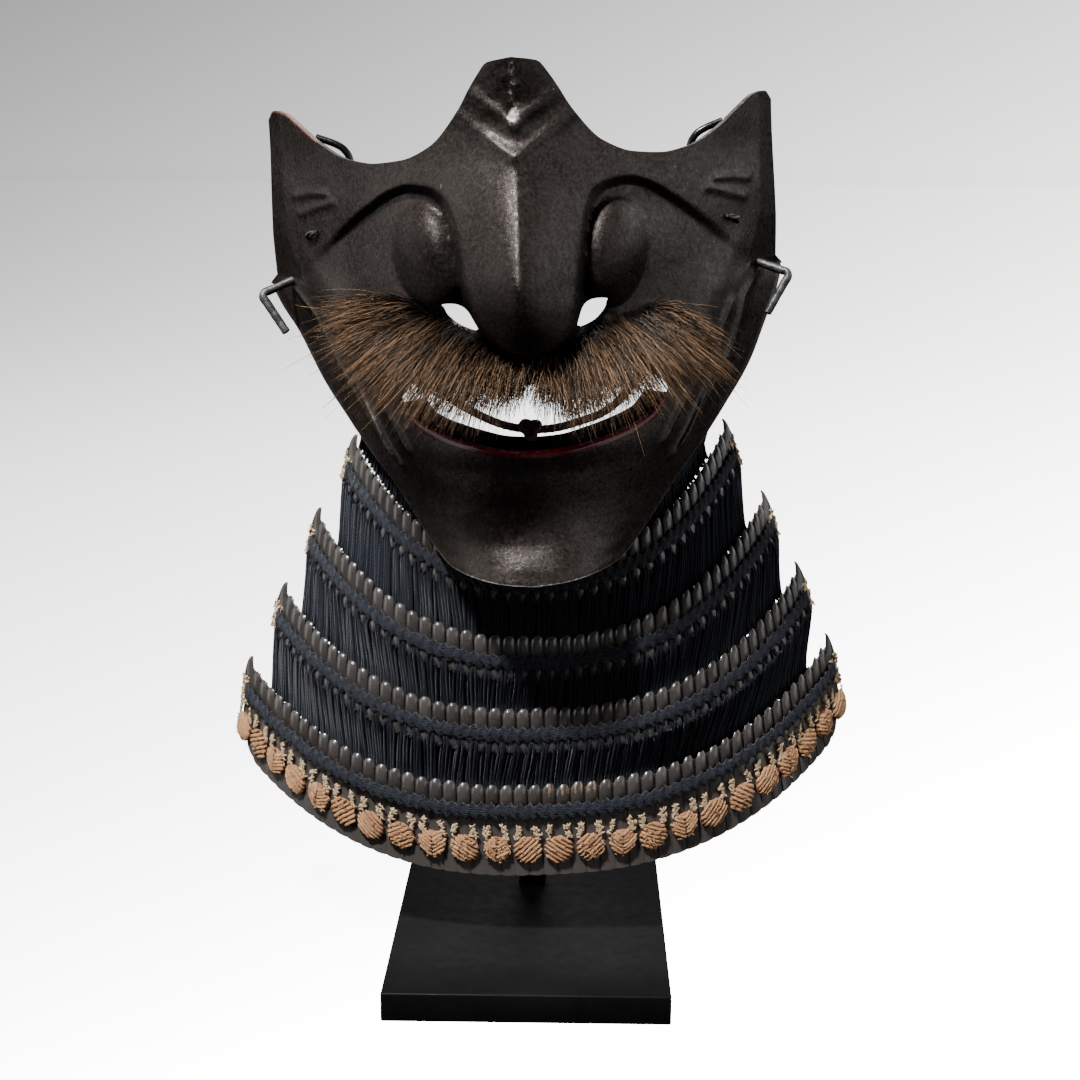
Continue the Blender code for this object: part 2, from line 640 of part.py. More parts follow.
def make_braid(number, lame, silk):
    """A thick twisted cord laid along the lame under its heads."""
    stations = np.linspace(-1, 1, 27)
    section = [(math.cos(a), math.sin(a)) for a in np.linspace(0, 2 * math.pi, 7)[:-1]]
    inset = 1 - 2.0 / lame.half_length
    points, faces = [], []
    for along in stations * inset:
        for out, up in section:
            below = BRAID_DROP - up * BRAID_HALF_HEIGHT
            points.append(lame.at(along, below, GAP + BRAID_HALF_DEPTH * (1 + out)))
    count = len(section)
    for i in range(len(stations) - 1):
        for k in range(count):
            a, b = i * count + k, i * count + (k + 1) % count
            faces.append((a, b, b + count, a + count))
    faces.append(tuple(range(count - 1, -1, -1)))
    faces.append(tuple(range(len(points) - count, len(points))))
    solid(f"braid_{number}", points, faces, silk, smooth_angle=60)


def make_curtain(name, lines, silk):
    """A sheet of cords that hang side by side. The lines run across it, from its top edge to its foot."""
    count, rows = len(lines[0]), len(lines)
    fronts, backs = [], []
    for k in range(count):
        run = (lines[0][min(k + 1, count - 1)] - lines[0][max(k - 1, 0)]).normalized()
        outward = Vector((run.y, -run.x, 0)).normalized()
        for line in lines:
            fronts.append(line[k] + outward * LACING_WALL / 2)
            backs.append(line[k] - outward * LACING_WALL / 2)
    faces, behind = [], len(fronts)
    for k in range(count - 1):
        for j in range(rows - 1):
            a, b = k * rows + j, (k + 1) * rows + j
            faces.append((a, a + 1, b + 1, b))
            faces.append((behind + a, behind + b, behind + b + 1, behind + a + 1))
    faces += rim_faces(count, rows, behind)
    solid(name, fronts + backs, faces, silk, smooth_angle=60)


def make_lacings(lames, silk):
    """Each curtain starts in front of one lame's foot and runs down behind the heads of the next."""
    out = GAP + LACING_WALL / 2
    behind = -LAME_WALL - 4 * GAP - LACING_WALL / 2
    for number, (upper, lower) in enumerate(zip(lames, lames[1:]), start=1):
        stations = np.linspace(-CURTAIN_END, CURTAIN_END, CURTAIN_STATIONS)
        top_line = [upper.at(along, LACING_DROP, out) for along in stations]
        foot_line = [upper.at(along, upper.height + GAP, out) for along in stations]
        bottom_line = [lower.at(along, LACING_TUCK, behind) for along in stations]
        make_curtain(f"lacing_{number}", (top_line, foot_line, bottom_line), silk)

    top_line, bottom_line = [], []
    for x in np.linspace(-FIRST_CURTAIN_HALF_WIDTH, FIRST_CURTAIN_HALF_WIDTH, 25):
        low = lames[0].at(lames[0].along_of(x), LACING_TUCK, behind)
        edge = float(smooth(JAW_EDGE, abs(x)))
        wall = MASK_WALL * MOST_WALL_STRETCH + 2 * LACING_WALL + 3 * GAP
        inside = max(face_y(x, edge), face_y(x, edge + JAW_LAP)) + wall
        bottom_line.append(low)
        top_line.append(Vector((x + sway(edge), max(inside, low.y), edge + JAW_LAP)))
    make_curtain("lacing_0", (top_line, bottom_line), silk)


def make_knots(lame, silk):
    """The row of round knots along the lowest lame."""
    for number in range(KNOT_COUNT):
        along = (number - (KNOT_COUNT - 1) / 2) * KNOT_PITCH / lame.half_length
        ring = []
        for out, reach in KNOT_RINGS:
            for k in range(8):
                angle = 2 * math.pi * k / 8
                sideways = reach * KNOT_RADIUS * math.cos(angle) / lame.half_length
                ring.append(lame.at(along + sideways, KNOT_DROP - reach * KNOT_RADIUS * math.sin(angle), out))
        ring.append(lame.at(along, KNOT_DROP, GAP + KNOT_RISE))
        faces = [tuple(range(7, -1, -1))]
        for k in range(8):
            after = (k + 1) % 8
            faces.append((k, after, 8 + after, 8 + k))
            faces.append((8 + k, 8 + after, 16))
        solid(f"knot_{number + 1:02d}", ring, faces, silk, smooth_angle=60)


def make_box(name, center, size, finish, hung):
    corners = [(-1, -1), (1, -1), (1, 1), (-1, 1)]
    points = [
        [middle + sign * length / 2 for middle, sign, length in zip(center, (x, y, z), size)]
        for z in (-1, 1)
        for x, y in corners
    ]
    sides = [(k, (k + 1) % 4, 4 + (k + 1) % 4, 4 + k) for k in range(4)]
    return solid(name, points, [(3, 2, 1, 0), (4, 5, 6, 7), *sides], finish, hung)


def make_stand(paint, steel):
    size = (BASE_WIDTH, BASE_LENGTH, BASE_HEIGHT)
    base = make_box("stand_base", (0, 0, BASE_HEIGHT / 2), size, paint, hung=False)
    foot = BASE_HEIGHT - POST_SUNK
    size = (POST_SIDE, POST_SIDE, POST_TOP - foot)
    post = make_box("post", (0, POST_Y, (POST_TOP + foot) / 2), size, None, hung=False)
    post.hide_render = True
    post.display_type = "WIRE"
    boolean(base, "UNION", post)

    hub = make_box("stand_arms", (0, POST_Y, HUB_Z), HUB_SIZE, steel, hung=True)
    for side, turn in (("left", mirrored), ("right", list)):
        arm = wire(f"arm_{side}", rounded(turn(ARM_ROUTE), ARM_POINTS), ARM_RADIUS, None)
        as_mesh = bpy.data.meshes.new_from_object(arm.evaluated_get(bpy.context.evaluated_depsgraph_get()))
        bpy.data.objects.remove(arm)
        arm = place(f"arm_{side}", as_mesh, None)
        arm.hide_render = True
        arm.display_type = "WIRE"
        boolean(hub, "UNION", arm)


for old in list(bpy.data.objects):
    bpy.data.objects.remove(old)

hanger = bpy.data.objects.new("hanger", None)
bpy.context.scene.collection.objects.link(hanger)
hanger.location = Vector(HANG_PIVOT) * MM
hanger.rotation_euler = (0, -HANG_LEAN, HANG_TURN)

blackened_iron = material("blackened iron", (0.030, 0.024, 0.021), 0.75, 0.42)
forged_iron = material("forged iron", (0.10, 0.10, 0.11), 0.9, 0.5)
brown_lacquer = material("brown lacquer", (0.075, 0.058, 0.048), 0.1, 0.35)
red_lacquer = material("red lacquer", (0.16, 0.01, 0.012), 0.0, 0.3)
navy_silk = material("navy silk", (0.012, 0.017, 0.034), 0.0, 0.85)
orange_silk = material("orange silk", (0.55, 0.22, 0.09), 0.0, 0.8)
purple_silk = material("purple silk", (0.10, 0.025, 0.05), 0.0, 0.8)
brown_hair = material("brown hair", (0.10, 0.055, 0.028), 0.0, 0.6)
black_paint = material("black paint", (0.012, 0.012, 0.014), 0.0, 0.6)
dark_steel = material("dark steel", (0.05, 0.05, 0.055), 0.9, 0.3)

throat = [Lame(row) for row in LAMES]
make_stand(black_paint, dark_steel)
make_mask(blackened_iron)
make_lower_lip(red_lacquer)
make_hooks(forged_iron)
make_cord_stitches(forged_iron)
make_moustache(brown_hair)
for index, plate in enumerate(throat, start=1):
    make_lame(index, plate, brown_lacquer)
    make_braid(index, plate, navy_silk)
make_lacings(throat, navy_silk)
make_knots(throat[-1], orange_silk)
wire("tying_cord", rounded(TYING_CORD_ROUTE, TYING_CORD_POINTS), TYING_CORD_RADIUS, purple_silk)
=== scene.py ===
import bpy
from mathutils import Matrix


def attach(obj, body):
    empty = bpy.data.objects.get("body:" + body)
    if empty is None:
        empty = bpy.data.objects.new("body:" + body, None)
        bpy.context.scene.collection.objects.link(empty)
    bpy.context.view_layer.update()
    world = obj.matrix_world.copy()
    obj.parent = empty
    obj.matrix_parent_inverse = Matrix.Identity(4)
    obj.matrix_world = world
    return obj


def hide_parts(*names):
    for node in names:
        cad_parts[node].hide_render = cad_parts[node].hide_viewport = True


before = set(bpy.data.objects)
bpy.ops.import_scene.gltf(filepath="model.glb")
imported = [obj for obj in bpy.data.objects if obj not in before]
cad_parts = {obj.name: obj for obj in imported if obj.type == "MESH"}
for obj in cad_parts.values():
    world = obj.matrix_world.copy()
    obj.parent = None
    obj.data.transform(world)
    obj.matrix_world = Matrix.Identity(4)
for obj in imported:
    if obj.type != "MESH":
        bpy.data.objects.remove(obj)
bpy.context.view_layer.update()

import math

import bpy
import numpy as np
from mathutils import Euler, Vector, noise

# The guard's shape is worked out in millimetres, upright and straight. +X is the viewer's right, -Y the front.
# hung() then leans it as it hangs on its stand, and writePoints turns it to metres.
mm = 0.001
rng = np.random.default_rng(11)

hang = {"pivot": (0.0, 0.0, 130.0), "lean": 2.6, "turn": 0.7}  # mm and degrees
hangTurn = np.array(Euler((0, -math.radians(hang["lean"]), math.radians(hang["turn"]))).to_matrix())
hangPivot = np.array(hang["pivot"])


def hung(points):
    return (np.asarray(points, float).reshape(-1, 3) - hangPivot) @ hangTurn.T + hangPivot


# the camera comes first
view = {"place": (0.0125, -0.566, 0.2496), "turn": (78.1, -0.294, 1.112), "lens": 60, "sensor": 36}
bpy.ops.object.camera_add(location=view["place"], rotation=[math.radians(angle) for angle in view["turn"]])
camera = bpy.context.object
camera.data.lens = view["lens"]
camera.data.sensor_width = view["sensor"]
camera.data.clip_end = 20
bpy.context.scene.camera = camera
print("the camera is in place")


def selectOnly(*pieces):
    if bpy.context.object and bpy.context.object.mode != "OBJECT":
        bpy.ops.object.mode_set(mode="OBJECT")
    bpy.ops.object.select_all(action="DESELECT")
    for piece in pieces:
        piece.select_set(True)
    bpy.context.view_layer.objects.active = pieces[0]


def rename(piece, name):
    piece.name = name
    piece.data.name = name
    return piece


# places of a mesh's points, in mm
def readPoints(piece):
    flat = np.zeros(len(piece.data.vertices) * 3, np.float32)
    piece.data.vertices.foreach_get("co", flat)
    return flat.reshape(-1, 3).astype(float) / mm


def writePoints(piece, points):
    piece.data.vertices.foreach_set("co", (np.asarray(points) * mm).astype(np.float32).ravel())
    piece.data.update()


def readQuads(piece):
    corners = np.zeros(len(piece.data.loops), np.int32)
    piece.data.loops.foreach_get("vertex_index", corners)
    return corners.reshape(-1, 4)


# one number for each point, for a material to read
def paintPoints(piece, name, values):
    layer = piece.data.attributes.new(name, "FLOAT", "POINT")
    layer.data.foreach_set("value", np.asarray(values, np.float32))


# a grid whose shares across (u) and up (v) are given their places, in mm, by place(u, v)
def addSheet(name, columns, rows, place):
    bpy.ops.object.select_all(action="DESELECT")
    bpy.ops.mesh.primitive_grid_add(x_subdivisions=columns, y_subdivisions=rows, size=2)
    piece = rename(bpy.context.object, name)
    flat = readPoints(piece) * mm
    writePoints(piece, place((flat[:, 0] + 1) / 2, (flat[:, 1] + 1) / 2))
    return piece


# runs mesh steps, each an operator with its settings, on all of a piece's points
def editMesh(piece, *steps):
    selectOnly(piece)
    bpy.ops.object.mode_set(mode="EDIT")
    bpy.ops.mesh.select_all(action="SELECT")
    for step, settings in steps:
        step(**settings)
    bpy.ops.object.mode_set(mode="OBJECT")


# joins a sheet that was rolled into a tube along its seam and fills its ends
def closeSheet(piece):
    editMesh(piece, (bpy.ops.mesh.remove_doubles, {"threshold": 0.000005}), (bpy.ops.mesh.fill_holes, {"sides": 0}))


# round cords along many lines of points, in mm; radii is one number, or one for each point of each line;
# tones gives each cord a number of its own for its material
def addCords(name, lines, radii, sides=4, hangThem=True, tones=None):
    data = bpy.data.curves.new(name, "CURVE")
    data.dimensions = "3D"
    data.bevel_depth = mm
    data.bevel_resolution = sides // 2 - 2
    data.use_fill_caps = True
    data.resolution_u = 1
    for number, line in enumerate(lines):
        line = hung(line) if hangThem else np.asarray(line, float)
        spline = data.splines.new("POLY")
        spline.points.add(len(line) - 1)
        spline.points.foreach_set("co", np.column_stack([line * mm, np.ones(len(line))]).ravel())
        radius = radii if np.isscalar(radii) else radii[number]
        spline.points.foreach_set("radius", np.broadcast_to(radius, len(line)).astype(float))
    bpy.ops.object.select_all(action="DESELECT")
    piece = bpy.data.objects.new(name, data)
    bpy.context.scene.collection.objects.link(piece)
    selectOnly(piece)
    bpy.ops.object.convert(target="MESH")
    piece = rename(bpy.context.object, name)
    if tones is not None:  # the converted mesh has both caps of each cord, last cord first, and then the cords
        counts = [len(line) for line in lines]
        paintPoints(piece, "tone", np.concatenate([np.repeat(tones[::-1], 2 * sides),
                                                   np.repeat(tones, np.array(counts) * sides)]))
        caps = np.tile(np.repeat((1.0, 0.0), sides), len(lines))
        paintPoints(piece, "along", np.concatenate([caps] + [np.repeat(np.linspace(0, 1, count), sides)
                                                             for count in counts]))
    editMesh(piece, (bpy.ops.mesh.remove_doubles, {"threshold": 0.000001}))
    return piece


def useModifier(piece, kind, **settings):
    selectOnly(piece)
    modifier = piece.modifiers.new(kind.lower(), kind)
    for key, value in settings.items():
        setattr(modifier, key, value)
    bpy.ops.object.modifier_apply(modifier=modifier.name)


def smoothShade(piece, angle=None):
    selectOnly(piece)
    if angle:
        bpy.ops.object.shade_smooth_by_angle(angle=math.radians(angle))
    else:
        bpy.ops.object.shade_smooth()


def joinPieces(name, *pieces):
    selectOnly(*pieces)
    bpy.ops.object.join()
    return rename(bpy.context.object, name)


# gives a piece its material, unless it has one, its shading and its place in the frame
def finishPiece(piece, finish, angle, slotName, *nodes):
    if finish:
        piece.data.materials.append(finish)
    smoothShade(piece, angle)
    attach(piece, "root")
    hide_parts(*nodes)
    print(f"{piece.name}: {sum(len(face.vertices) - 2 for face in piece.data.polygons)} triangles")


# a curve through the table's points that turns back only where they do
def smoothCurve(table, at, column=1):
    rows = np.array([(row[0], row[column]) for row in table], float)
    xs, ys = rows[:, 0], rows[:, 1]
    step = np.diff(ys) / np.diff(xs)
    slope = np.concatenate([[step[0]], np.zeros(len(xs) - 2), [step[-1]]])
    sameWay = step[:-1] * step[1:] > 0
    slope[1:-1] = np.where(sameWay, 2 * step[:-1] * step[1:] / np.where(sameWay, step[:-1] + step[1:], 1), 0)
    i = np.clip(np.searchsorted(xs, at) - 1, 0, len(xs) - 2)
    width = xs[i + 1] - xs[i]
    t = np.clip((at - xs[i]) / width, 0, 1)
    return (ys[i] * (1 + 2 * t) * (1 - t) ** 2 + slope[i] * width * t * (1 - t) ** 2
            + ys[i + 1] * t * t * (3 - 2 * t) - slope[i + 1] * width * t * t * (1 - t))


def slopeOf(curve, at, step):
    return (curve(at + step) - curve(at - step)) / (2 * step)


def smoothStep(t):
    t = np.clip(t, 0, 1)
    return t * t * (3 - 2 * t)


# 1 in the middle, falling off over this width
def hill(away, width):
    return np.exp(-((away / width) ** 2))


# 1 from low to high, fading to 0 over 'soft' on both sides
def between(at, low, high, soft):
    return smoothStep((at - low) / soft + 1) * smoothStep((high - at) / soft + 1)


# a smooth line through the points
def roundedLine(points, count):
    points = np.asarray(points, float)
    padded = np.vstack([2 * points[0] - points[1], points, 2 * points[-1] - points[-2]])
    at = np.linspace(0, len(points) - 1, count)
    i = np.minimum(at.astype(int), len(points) - 2)
    t = (at - i)[:, None]
    a, b, c, d = (padded[i + k] for k in range(4))
    return 0.5 * (2 * b + (c - a) * t + (2 * a - 5 * b + 4 * c - d) * t**2 + (3 * b - a - 3 * c + d) * t**3)


def distanceToLine(x, z, points):
    nearest = np.full(np.shape(x), np.inf)
    for (ax, az), (bx, bz) in zip(points, points[1:]):
        along = np.clip(((x - ax) * (bx - ax) + (z - az) * (bz - az)) / ((bx - ax) ** 2 + (bz - az) ** 2), 0, 1)
        nearest = np.minimum(nearest, np.hypot(x - ax - along * (bx - ax), z - az - along * (bz - az)))
    return nearest


def insideOutline(x, z, outline):
    inside = np.zeros(np.shape(x), bool)
    for (ax, az), (bx, bz) in zip(outline, np.roll(outline, -1, axis=0)):
        crosses = (az > z) != (bz > z)
        where = ax + (z - az) * (bx - ax) / np.where(bz == az, 1e-9, bz - az)
        inside ^= crosses & (x < where)
    return inside


def nearestOnOutline(x, z, outline):
    best = np.full(len(x), np.inf)
    bestX, bestZ = x.copy(), z.copy()
    for (ax, az), (bx, bz) in zip(outline, np.roll(outline, -1, axis=0)):
        along = np.clip(((x - ax) * (bx - ax) + (z - az) * (bz - az)) / ((bx - ax) ** 2 + (bz - az) ** 2 + 1e-12), 0, 1)
        nearX, nearZ = ax + along * (bx - ax), az + along * (bz - az)
        away = np.hypot(x - nearX, z - nearZ)
        closer = away < best
        best, bestX, bestZ = (np.where(closer, new, old)
                              for new, old in ((away, best), (nearX, bestX), (nearZ, bestZ)))
    return bestX, bestZ


# soft noise from -1 to 1 with lumps of about this size, in mm
def roughness3d(points, size, seed=0.0):
    return np.array([noise.noise(Vector(point) / size + Vector((seed, seed * 0.7, -seed))) for point in points])


# a number for each point that strays from its middle value by about this depth
def lumps(points, middle, depth, size, seed):
    return middle + depth * roughness3d(points, size, seed)


# links a socket to another node's output, or sets it; owner is a material or a world
def feed(owner, socket, value):
    if isinstance(value, bpy.types.NodeSocket):
        owner.node_tree.links.new(value, socket)
    elif socket.type == "RGBA":
        socket.default_value = (*value, 1)
    else:
        socket.default_value = value


def setShader(material, values):
    shader = material.node_tree.nodes["Principled BSDF"]
    for key, value in values.items():
        feed(material, shader.inputs[key], value)


def newMaterial(name, color, metallic, roughness, more=None):
    material = bpy.data.materials.new(name)
    material.use_nodes = True
    setShader(material, {"Base Color": color, "Metallic": metallic, "Roughness": roughness, **(more or {})})
    return material


# adds a node, sets it, links what comes from other nodes, and gives back its output
def addNode(owner, kind, inputs=None, output=0, **settings):
    node = owner.node_tree.nodes.new(kind)
    for key, value in settings.items():
        setattr(node, key, value)
    for key, value in (inputs or {}).items():
        feed(owner, node.inputs[key], value)
    return node.outputs[output]


def objectPlace(material, scale=(1, 1, 1)):
    place = addNode(material, "ShaderNodeTexCoord", output="Object")
    return addNode(material, "ShaderNodeMapping", {"Vector": place, "Scale": scale})


# the numbers that paintPoints gave the piece
def readPaint(material, name):
    return addNode(material, "ShaderNodeAttribute", output="Fac", attribute_name=name)


# a cloud of noise from 0 to 1; scale is lumps in a metre
def addNoise(material, place, scale, detail, roughness=0.55):
    return addNode(material, "ShaderNodeTexNoise",
                   {"Vector": place, "Scale": scale, "Detail": detail, "Roughness": roughness})


def spread(material, value, low, high, outLow=0.0, outHigh=1.0):
    return addNode(material, "ShaderNodeMapRange", {
        "Value": value, "From Min": low, "From Max": high, "To Min": outLow, "To Max": outHigh})


def mathNode(owner, operation, a, b):
    return addNode(owner, "ShaderNodeMath", {0: a, 1: b}, operation=operation)


def mixColors(material, share, a, b):
    return addNode(material, "ShaderNodeMix", {0: share, 6: a, 7: b}, output=2, data_type="RGBA")


# distance is in mm; below is another bump that this one lies on
def addBump(material, height, distance, strength=1.0, below=None):
    inputs = {"Height": height, "Distance": distance * mm, "Strength": strength}
    if below:
        inputs["Normal"] = below
    return addNode(material, "ShaderNodeBump", inputs)


# the mask's outlines and curves are given for one side, in mm, and mirrored
mask = {
    "halfWidth": 88.0, "wall": 1.5, "columns": 236, "rows": 186,
    "sideFineness": 0.25,  # the columns lie closer towards the sides, which turn away
    # height, y of the front line, half width, set-back at that half width, power
    "levels": [
        (126.0, -47.6, 28.0, 26.0, 2.8), (129.5, -47.2, 29.5, 27.0, 2.7), (133.0, -45.4, 31.0, 27.0, 2.6),
        (138.0, -42.4, 34.5, 29.0, 2.45), (144.0, -40.6, 39.5, 35.0, 2.3), (150.0, -39.9, 45.0, 42.0, 2.2),
        (158.0, -40.0, 52.0, 48.0, 2.05), (165.0, -41.4, 58.0, 57.0, 1.95),
        (180.0, -38.5, 71.0, 75.0, 1.85), (195.0, -34.5, 80.0, 85.0, 1.8), (211.0, -30.5, 88.0, 94.0, 1.8),
        (235.0, -27.0, 88.0, 91.0, 1.8), (252.0, -24.4, 88.0, 89.0, 1.8), (266.0, -23.4, 88.0, 88.5, 1.8),
        (280.0, -22.8, 88.0, 88.0, 1.8)],
    "topEdge": [
        (0.0, 279.3), (7.5, 278.2), (11.0, 274.3), (18.3, 263.2), (26.4, 254.9), (36.0, 251.2), (45.0, 250.6),
        (54.0, 252.0), (66.0, 258.0), (74.0, 264.2), (80.0, 268.4), (85.0, 269.6), (88.0, 267.0)],
    "jawEdge": [
        (0.0, 126.2), (8.0, 126.8), (18.0, 128.0), (25.0, 129.2), (29.0, 131.4), (33.0, 135.2), (38.0, 141.0),
        (48.5, 153.5), (61.7, 168.9), (71.0, 180.0), (79.6, 195.4), (85.0, 204.0), (88.0, 210.0)],
    "fold": [
        (0.0, 192.3), (6.0, 194.2), (11.0, 197.4), (14.4, 201.4), (17.2, 211.0), (18.8, 222.5), (20.5, 232.0),
        (23.5, 239.0), (28.0, 241.8), (34.0, 242.6), (39.0, 241.4), (48.5, 236.0), (57.0, 229.8), (64.5, 223.6),
        (72.0, 217.0), (88.0, 205.0)],
    "foldWidth": 3.2, "foldDepth": 4.4, "foldReach": 16.0, "foldFade": (42.0, 42.0),
    "sway": [(126.0, 0.5), (150.0, 2.0), (180.0, 2.6), (195.0, 2.2), (205.0, 1.0), (215.0, 0.0), (280.0, 0.0)],
    "wingTaper": (0.017, 215.0, 50.0),  # share, from this height, over this height
    "noseKeel": 1.5, "tipKeel": 0.3, "tipFrom": 214.0, "tipOver": 12.0,  # how blunt the ridge is, and more at its tip
    # height, y of the nose's ridge, how wide it spreads
    "nose": [
        (190.0, -41.5, 13.0), (193.0, -44.6, 13.4), (196.0, -47.6, 14.0), (202.0, -50.6, 15.0),
        (208.0, -51.2, 16.5), (213.0, -50.4, 17.0), (220.0, -47.0, 17.5), (228.0, -42.2, 18.0),
        (238.0, -35.8, 16.0), (250.0, -29.3, 12.0), (262.0, -25.0, 8.0), (280.0, -24.2, 7.0)],
    "noseWing": {"x": 28.3, "z": 221.5, "halfWidth": 10.6, "halfHeight": 16.5, "tilt": 14.0, "rise": 6.5,
                 "fullness": 0.7},
    # x, z, radius, rise
    "bumps": [(0.0, 260.0, 3.0, 1.6)],
    "lowerBumps": [(20.0, 204.5, 5.5, -3.0), (65.0, 206.0, 12.0, 2.2)],
    "wingDish": (73.0, 252.0, 9.0, -2.0),
    # width, rise, crest, points
    "ridges": [
        (1.8, 1.25, 0.0, [(0.0, 260.5), (8.5, 266.0), (14.5, 270.5)]),
        (1.8, 1.35, 0.0, [(0.0, 250.5), (9.3, 257.0), (18.5, 264.3)]),
        (1.3, 1.2, 0.2, [(63.5, 241.7), (70.0, 242.0), (76.0, 241.2)]),
        (1.3, 1.2, 0.2, [(60.8, 239.0), (67.0, 237.5), (74.0, 235.3)]),
        (4.2, 1.3, 0.0, [(71.5, 220.5), (66.0, 214.0), (60.0, 207.0), (56.0, 200.0), (54.0, 191.0)]),
        (1.6, 1.4, 0.7, [(78.0, 211.0), (71.0, 203.0), (65.3, 189.0), (57.5, 177.0), (50.5, 166.0), (46.0, 160.0)]),
        (1.6, 1.4, 0.7, [(66.0, 202.0), (61.5, 195.0), (59.5, 185.0), (54.0, 174.5), (48.0, 164.0), (43.0, 157.5)]),
        (1.5, 1.2, 0.6, [(50.0, 178.0), (44.0, 170.0), (40.0, 163.0)])],
    "flange": [(73.5, 213.0), (80.0, 228.0), (81.5, 245.0), (82.0, 268.0)], "flangeSlope": 0.8,
    "rimRise": 0.9, "rimWidth": 1.8, "crestWidth": 0.55,
    "mouthLower": [
        (0.0, 163.4), (10.0, 163.8), (20.0, 165.4), (30.0, 167.8), (36.5, 170.6), (40.5, 175.0), (42.5, 179.0)],
    "mouthUpper": [(0.0, 185.0), (20.0, 186.5), (34.0, 185.5), (40.5, 182.5), (42.5, 179.0)],
    "nostril": [
        (14.4, 200.1), (17.5, 200.8), (21.0, 202.4), (24.0, 205.3), (25.5, 207.9), (21.5, 208.2), (18.0, 206.6),
        (16.0, 203.5)],
    "cordHole": [(69.9, 227.0), (70.7, 226.5), (71.5, 226.9), (71.7, 227.7), (71.1, 228.4), (70.2, 228.1)],
}
foldLine = [(x, float(smoothCurve(mask["fold"], x))) for x in np.linspace(0, mask["halfWidth"], 89)]


def bump(x, z, spot):
    atX, atZ, radius, rise = spot
    return rise * np.exp(-((x - atX) ** 2 + (z - atZ) ** 2) / radius**2)


def plainFace(x, z):
    front, half, back, power = (smoothCurve(mask["levels"], z, column) for column in (1, 2, 3, 4))
    return front + back * (x / half) ** power


# how far from the middle of the nose's wing, 1 on its outline
def wingShare(x, z):
    wing = mask["noseWing"]
    tilt = math.radians(wing["tilt"])
    across = (x - wing["x"]) * math.cos(tilt) - (z - wing["z"]) * math.sin(tilt)
    along = (x - wing["x"]) * math.sin(tilt) + (z - wing["z"]) * math.cos(tilt)
    return (across / wing["halfWidth"]) ** 2 + (along / wing["halfHeight"]) ** 2


# y of the mask's outer face
def maskFace(x, z):
    x = np.abs(x)
    plain = plainFace(x, z)
    ridge, spreading = smoothCurve(mask["nose"], z, 1), smoothCurve(mask["nose"], z, 2)
    keel = mask["noseKeel"] + mask["tipKeel"] * smoothStep((mask["tipFrom"] - z) / mask["tipOver"])
    nose = (plainFace(np.zeros_like(x), z) - ridge) * np.exp(-((x / spreading) ** keel))
    upper = plain - nose - sum(bump(x, z, spot) for spot in mask["bumps"])

    foldZ = smoothCurve(mask["fold"], x)
    foldSlope = slopeOf(lambda at: smoothCurve(mask["fold"], at), x, 0.2)
    aboveFold = (z - foldZ) / np.hypot(1, foldSlope)
    fadeFrom, fadeOver = mask["foldFade"]
    fade = 1 - smoothStep((x - fadeFrom) / fadeOver)
    away = distanceToLine(x, z, foldLine) * (z < foldZ)
    hollow = mask["foldDepth"] * fade * np.exp(-away / mask["foldReach"])
    wing = mask["noseWing"]["rise"] * np.clip(1 - wingShare(x, z), 0, 1) ** mask["noseWing"]["fullness"]
    lower = plain + hollow - wing - sum(bump(x, z, spot) for spot in mask["lowerBumps"])

    face = lower + (upper - lower) * smoothStep(aboveFold / mask["foldWidth"] + 0.5)
    face = face - bump(x, z, mask["wingDish"])
    for width, rise, crest, points in mask["ridges"]:
        away = distanceToLine(x, z, points)
        face = face - rise * hill(away, width) - crest * hill(away, mask["crestWidth"])
    flangeX = np.interp(z, [row[1] for row in mask["flange"]], [row[0] for row in mask["flange"]], left=99)
    face = face + mask["flangeSlope"] * np.maximum(x - flangeX, 0)
    return face - mask["rimRise"] * hill(z - smoothCurve(mask["jawEdge"], x), mask["rimWidth"])


def sway(z):
    return smoothCurve(mask["sway"], z)


# the mask is a little crooked, and narrows to its tips
def shifted(x, z):
    share, start, over = mask["wingTaper"]
    return x * (1 - share * smoothStep((z - start) / over)) + sway(z)


# points on the mask, or this far out of it
def onFace(x, z, out=0.0):
    x, z = np.atleast_1d(np.asarray(x, float)), np.atleast_1d(np.asarray(z, float))
    slopeX = slopeOf(lambda at: maskFace(at, z), x, 0.5)
    slopeZ = slopeOf(lambda at: maskFace(x, at), z, 0.5)
    outward = np.column_stack([slopeX, -np.ones_like(x), slopeZ])
    outward /= np.linalg.norm(outward, axis=1)[:, None]
    return np.column_stack([shifted(x, z), maskFace(x, z), z]) + outward * np.reshape(out, (-1, 1))


def closedOutline(points, count):
    return roundedLine(list(points) + [points[0]], count)[:-1]


def mouthOutline():
    corner = mask["mouthLower"][-1][0]
    lower = [(x, float(smoothCurve(mask["mouthLower"], abs(x)))) for x in np.linspace(-corner, corner, 90)]
    upper = [(x, float(smoothCurve(mask["mouthUpper"], abs(x)))) for x in np.linspace(corner - 1, 1 - corner, 70)]
    return np.array(lower + upper)


scalePitch = 4.4  # mm


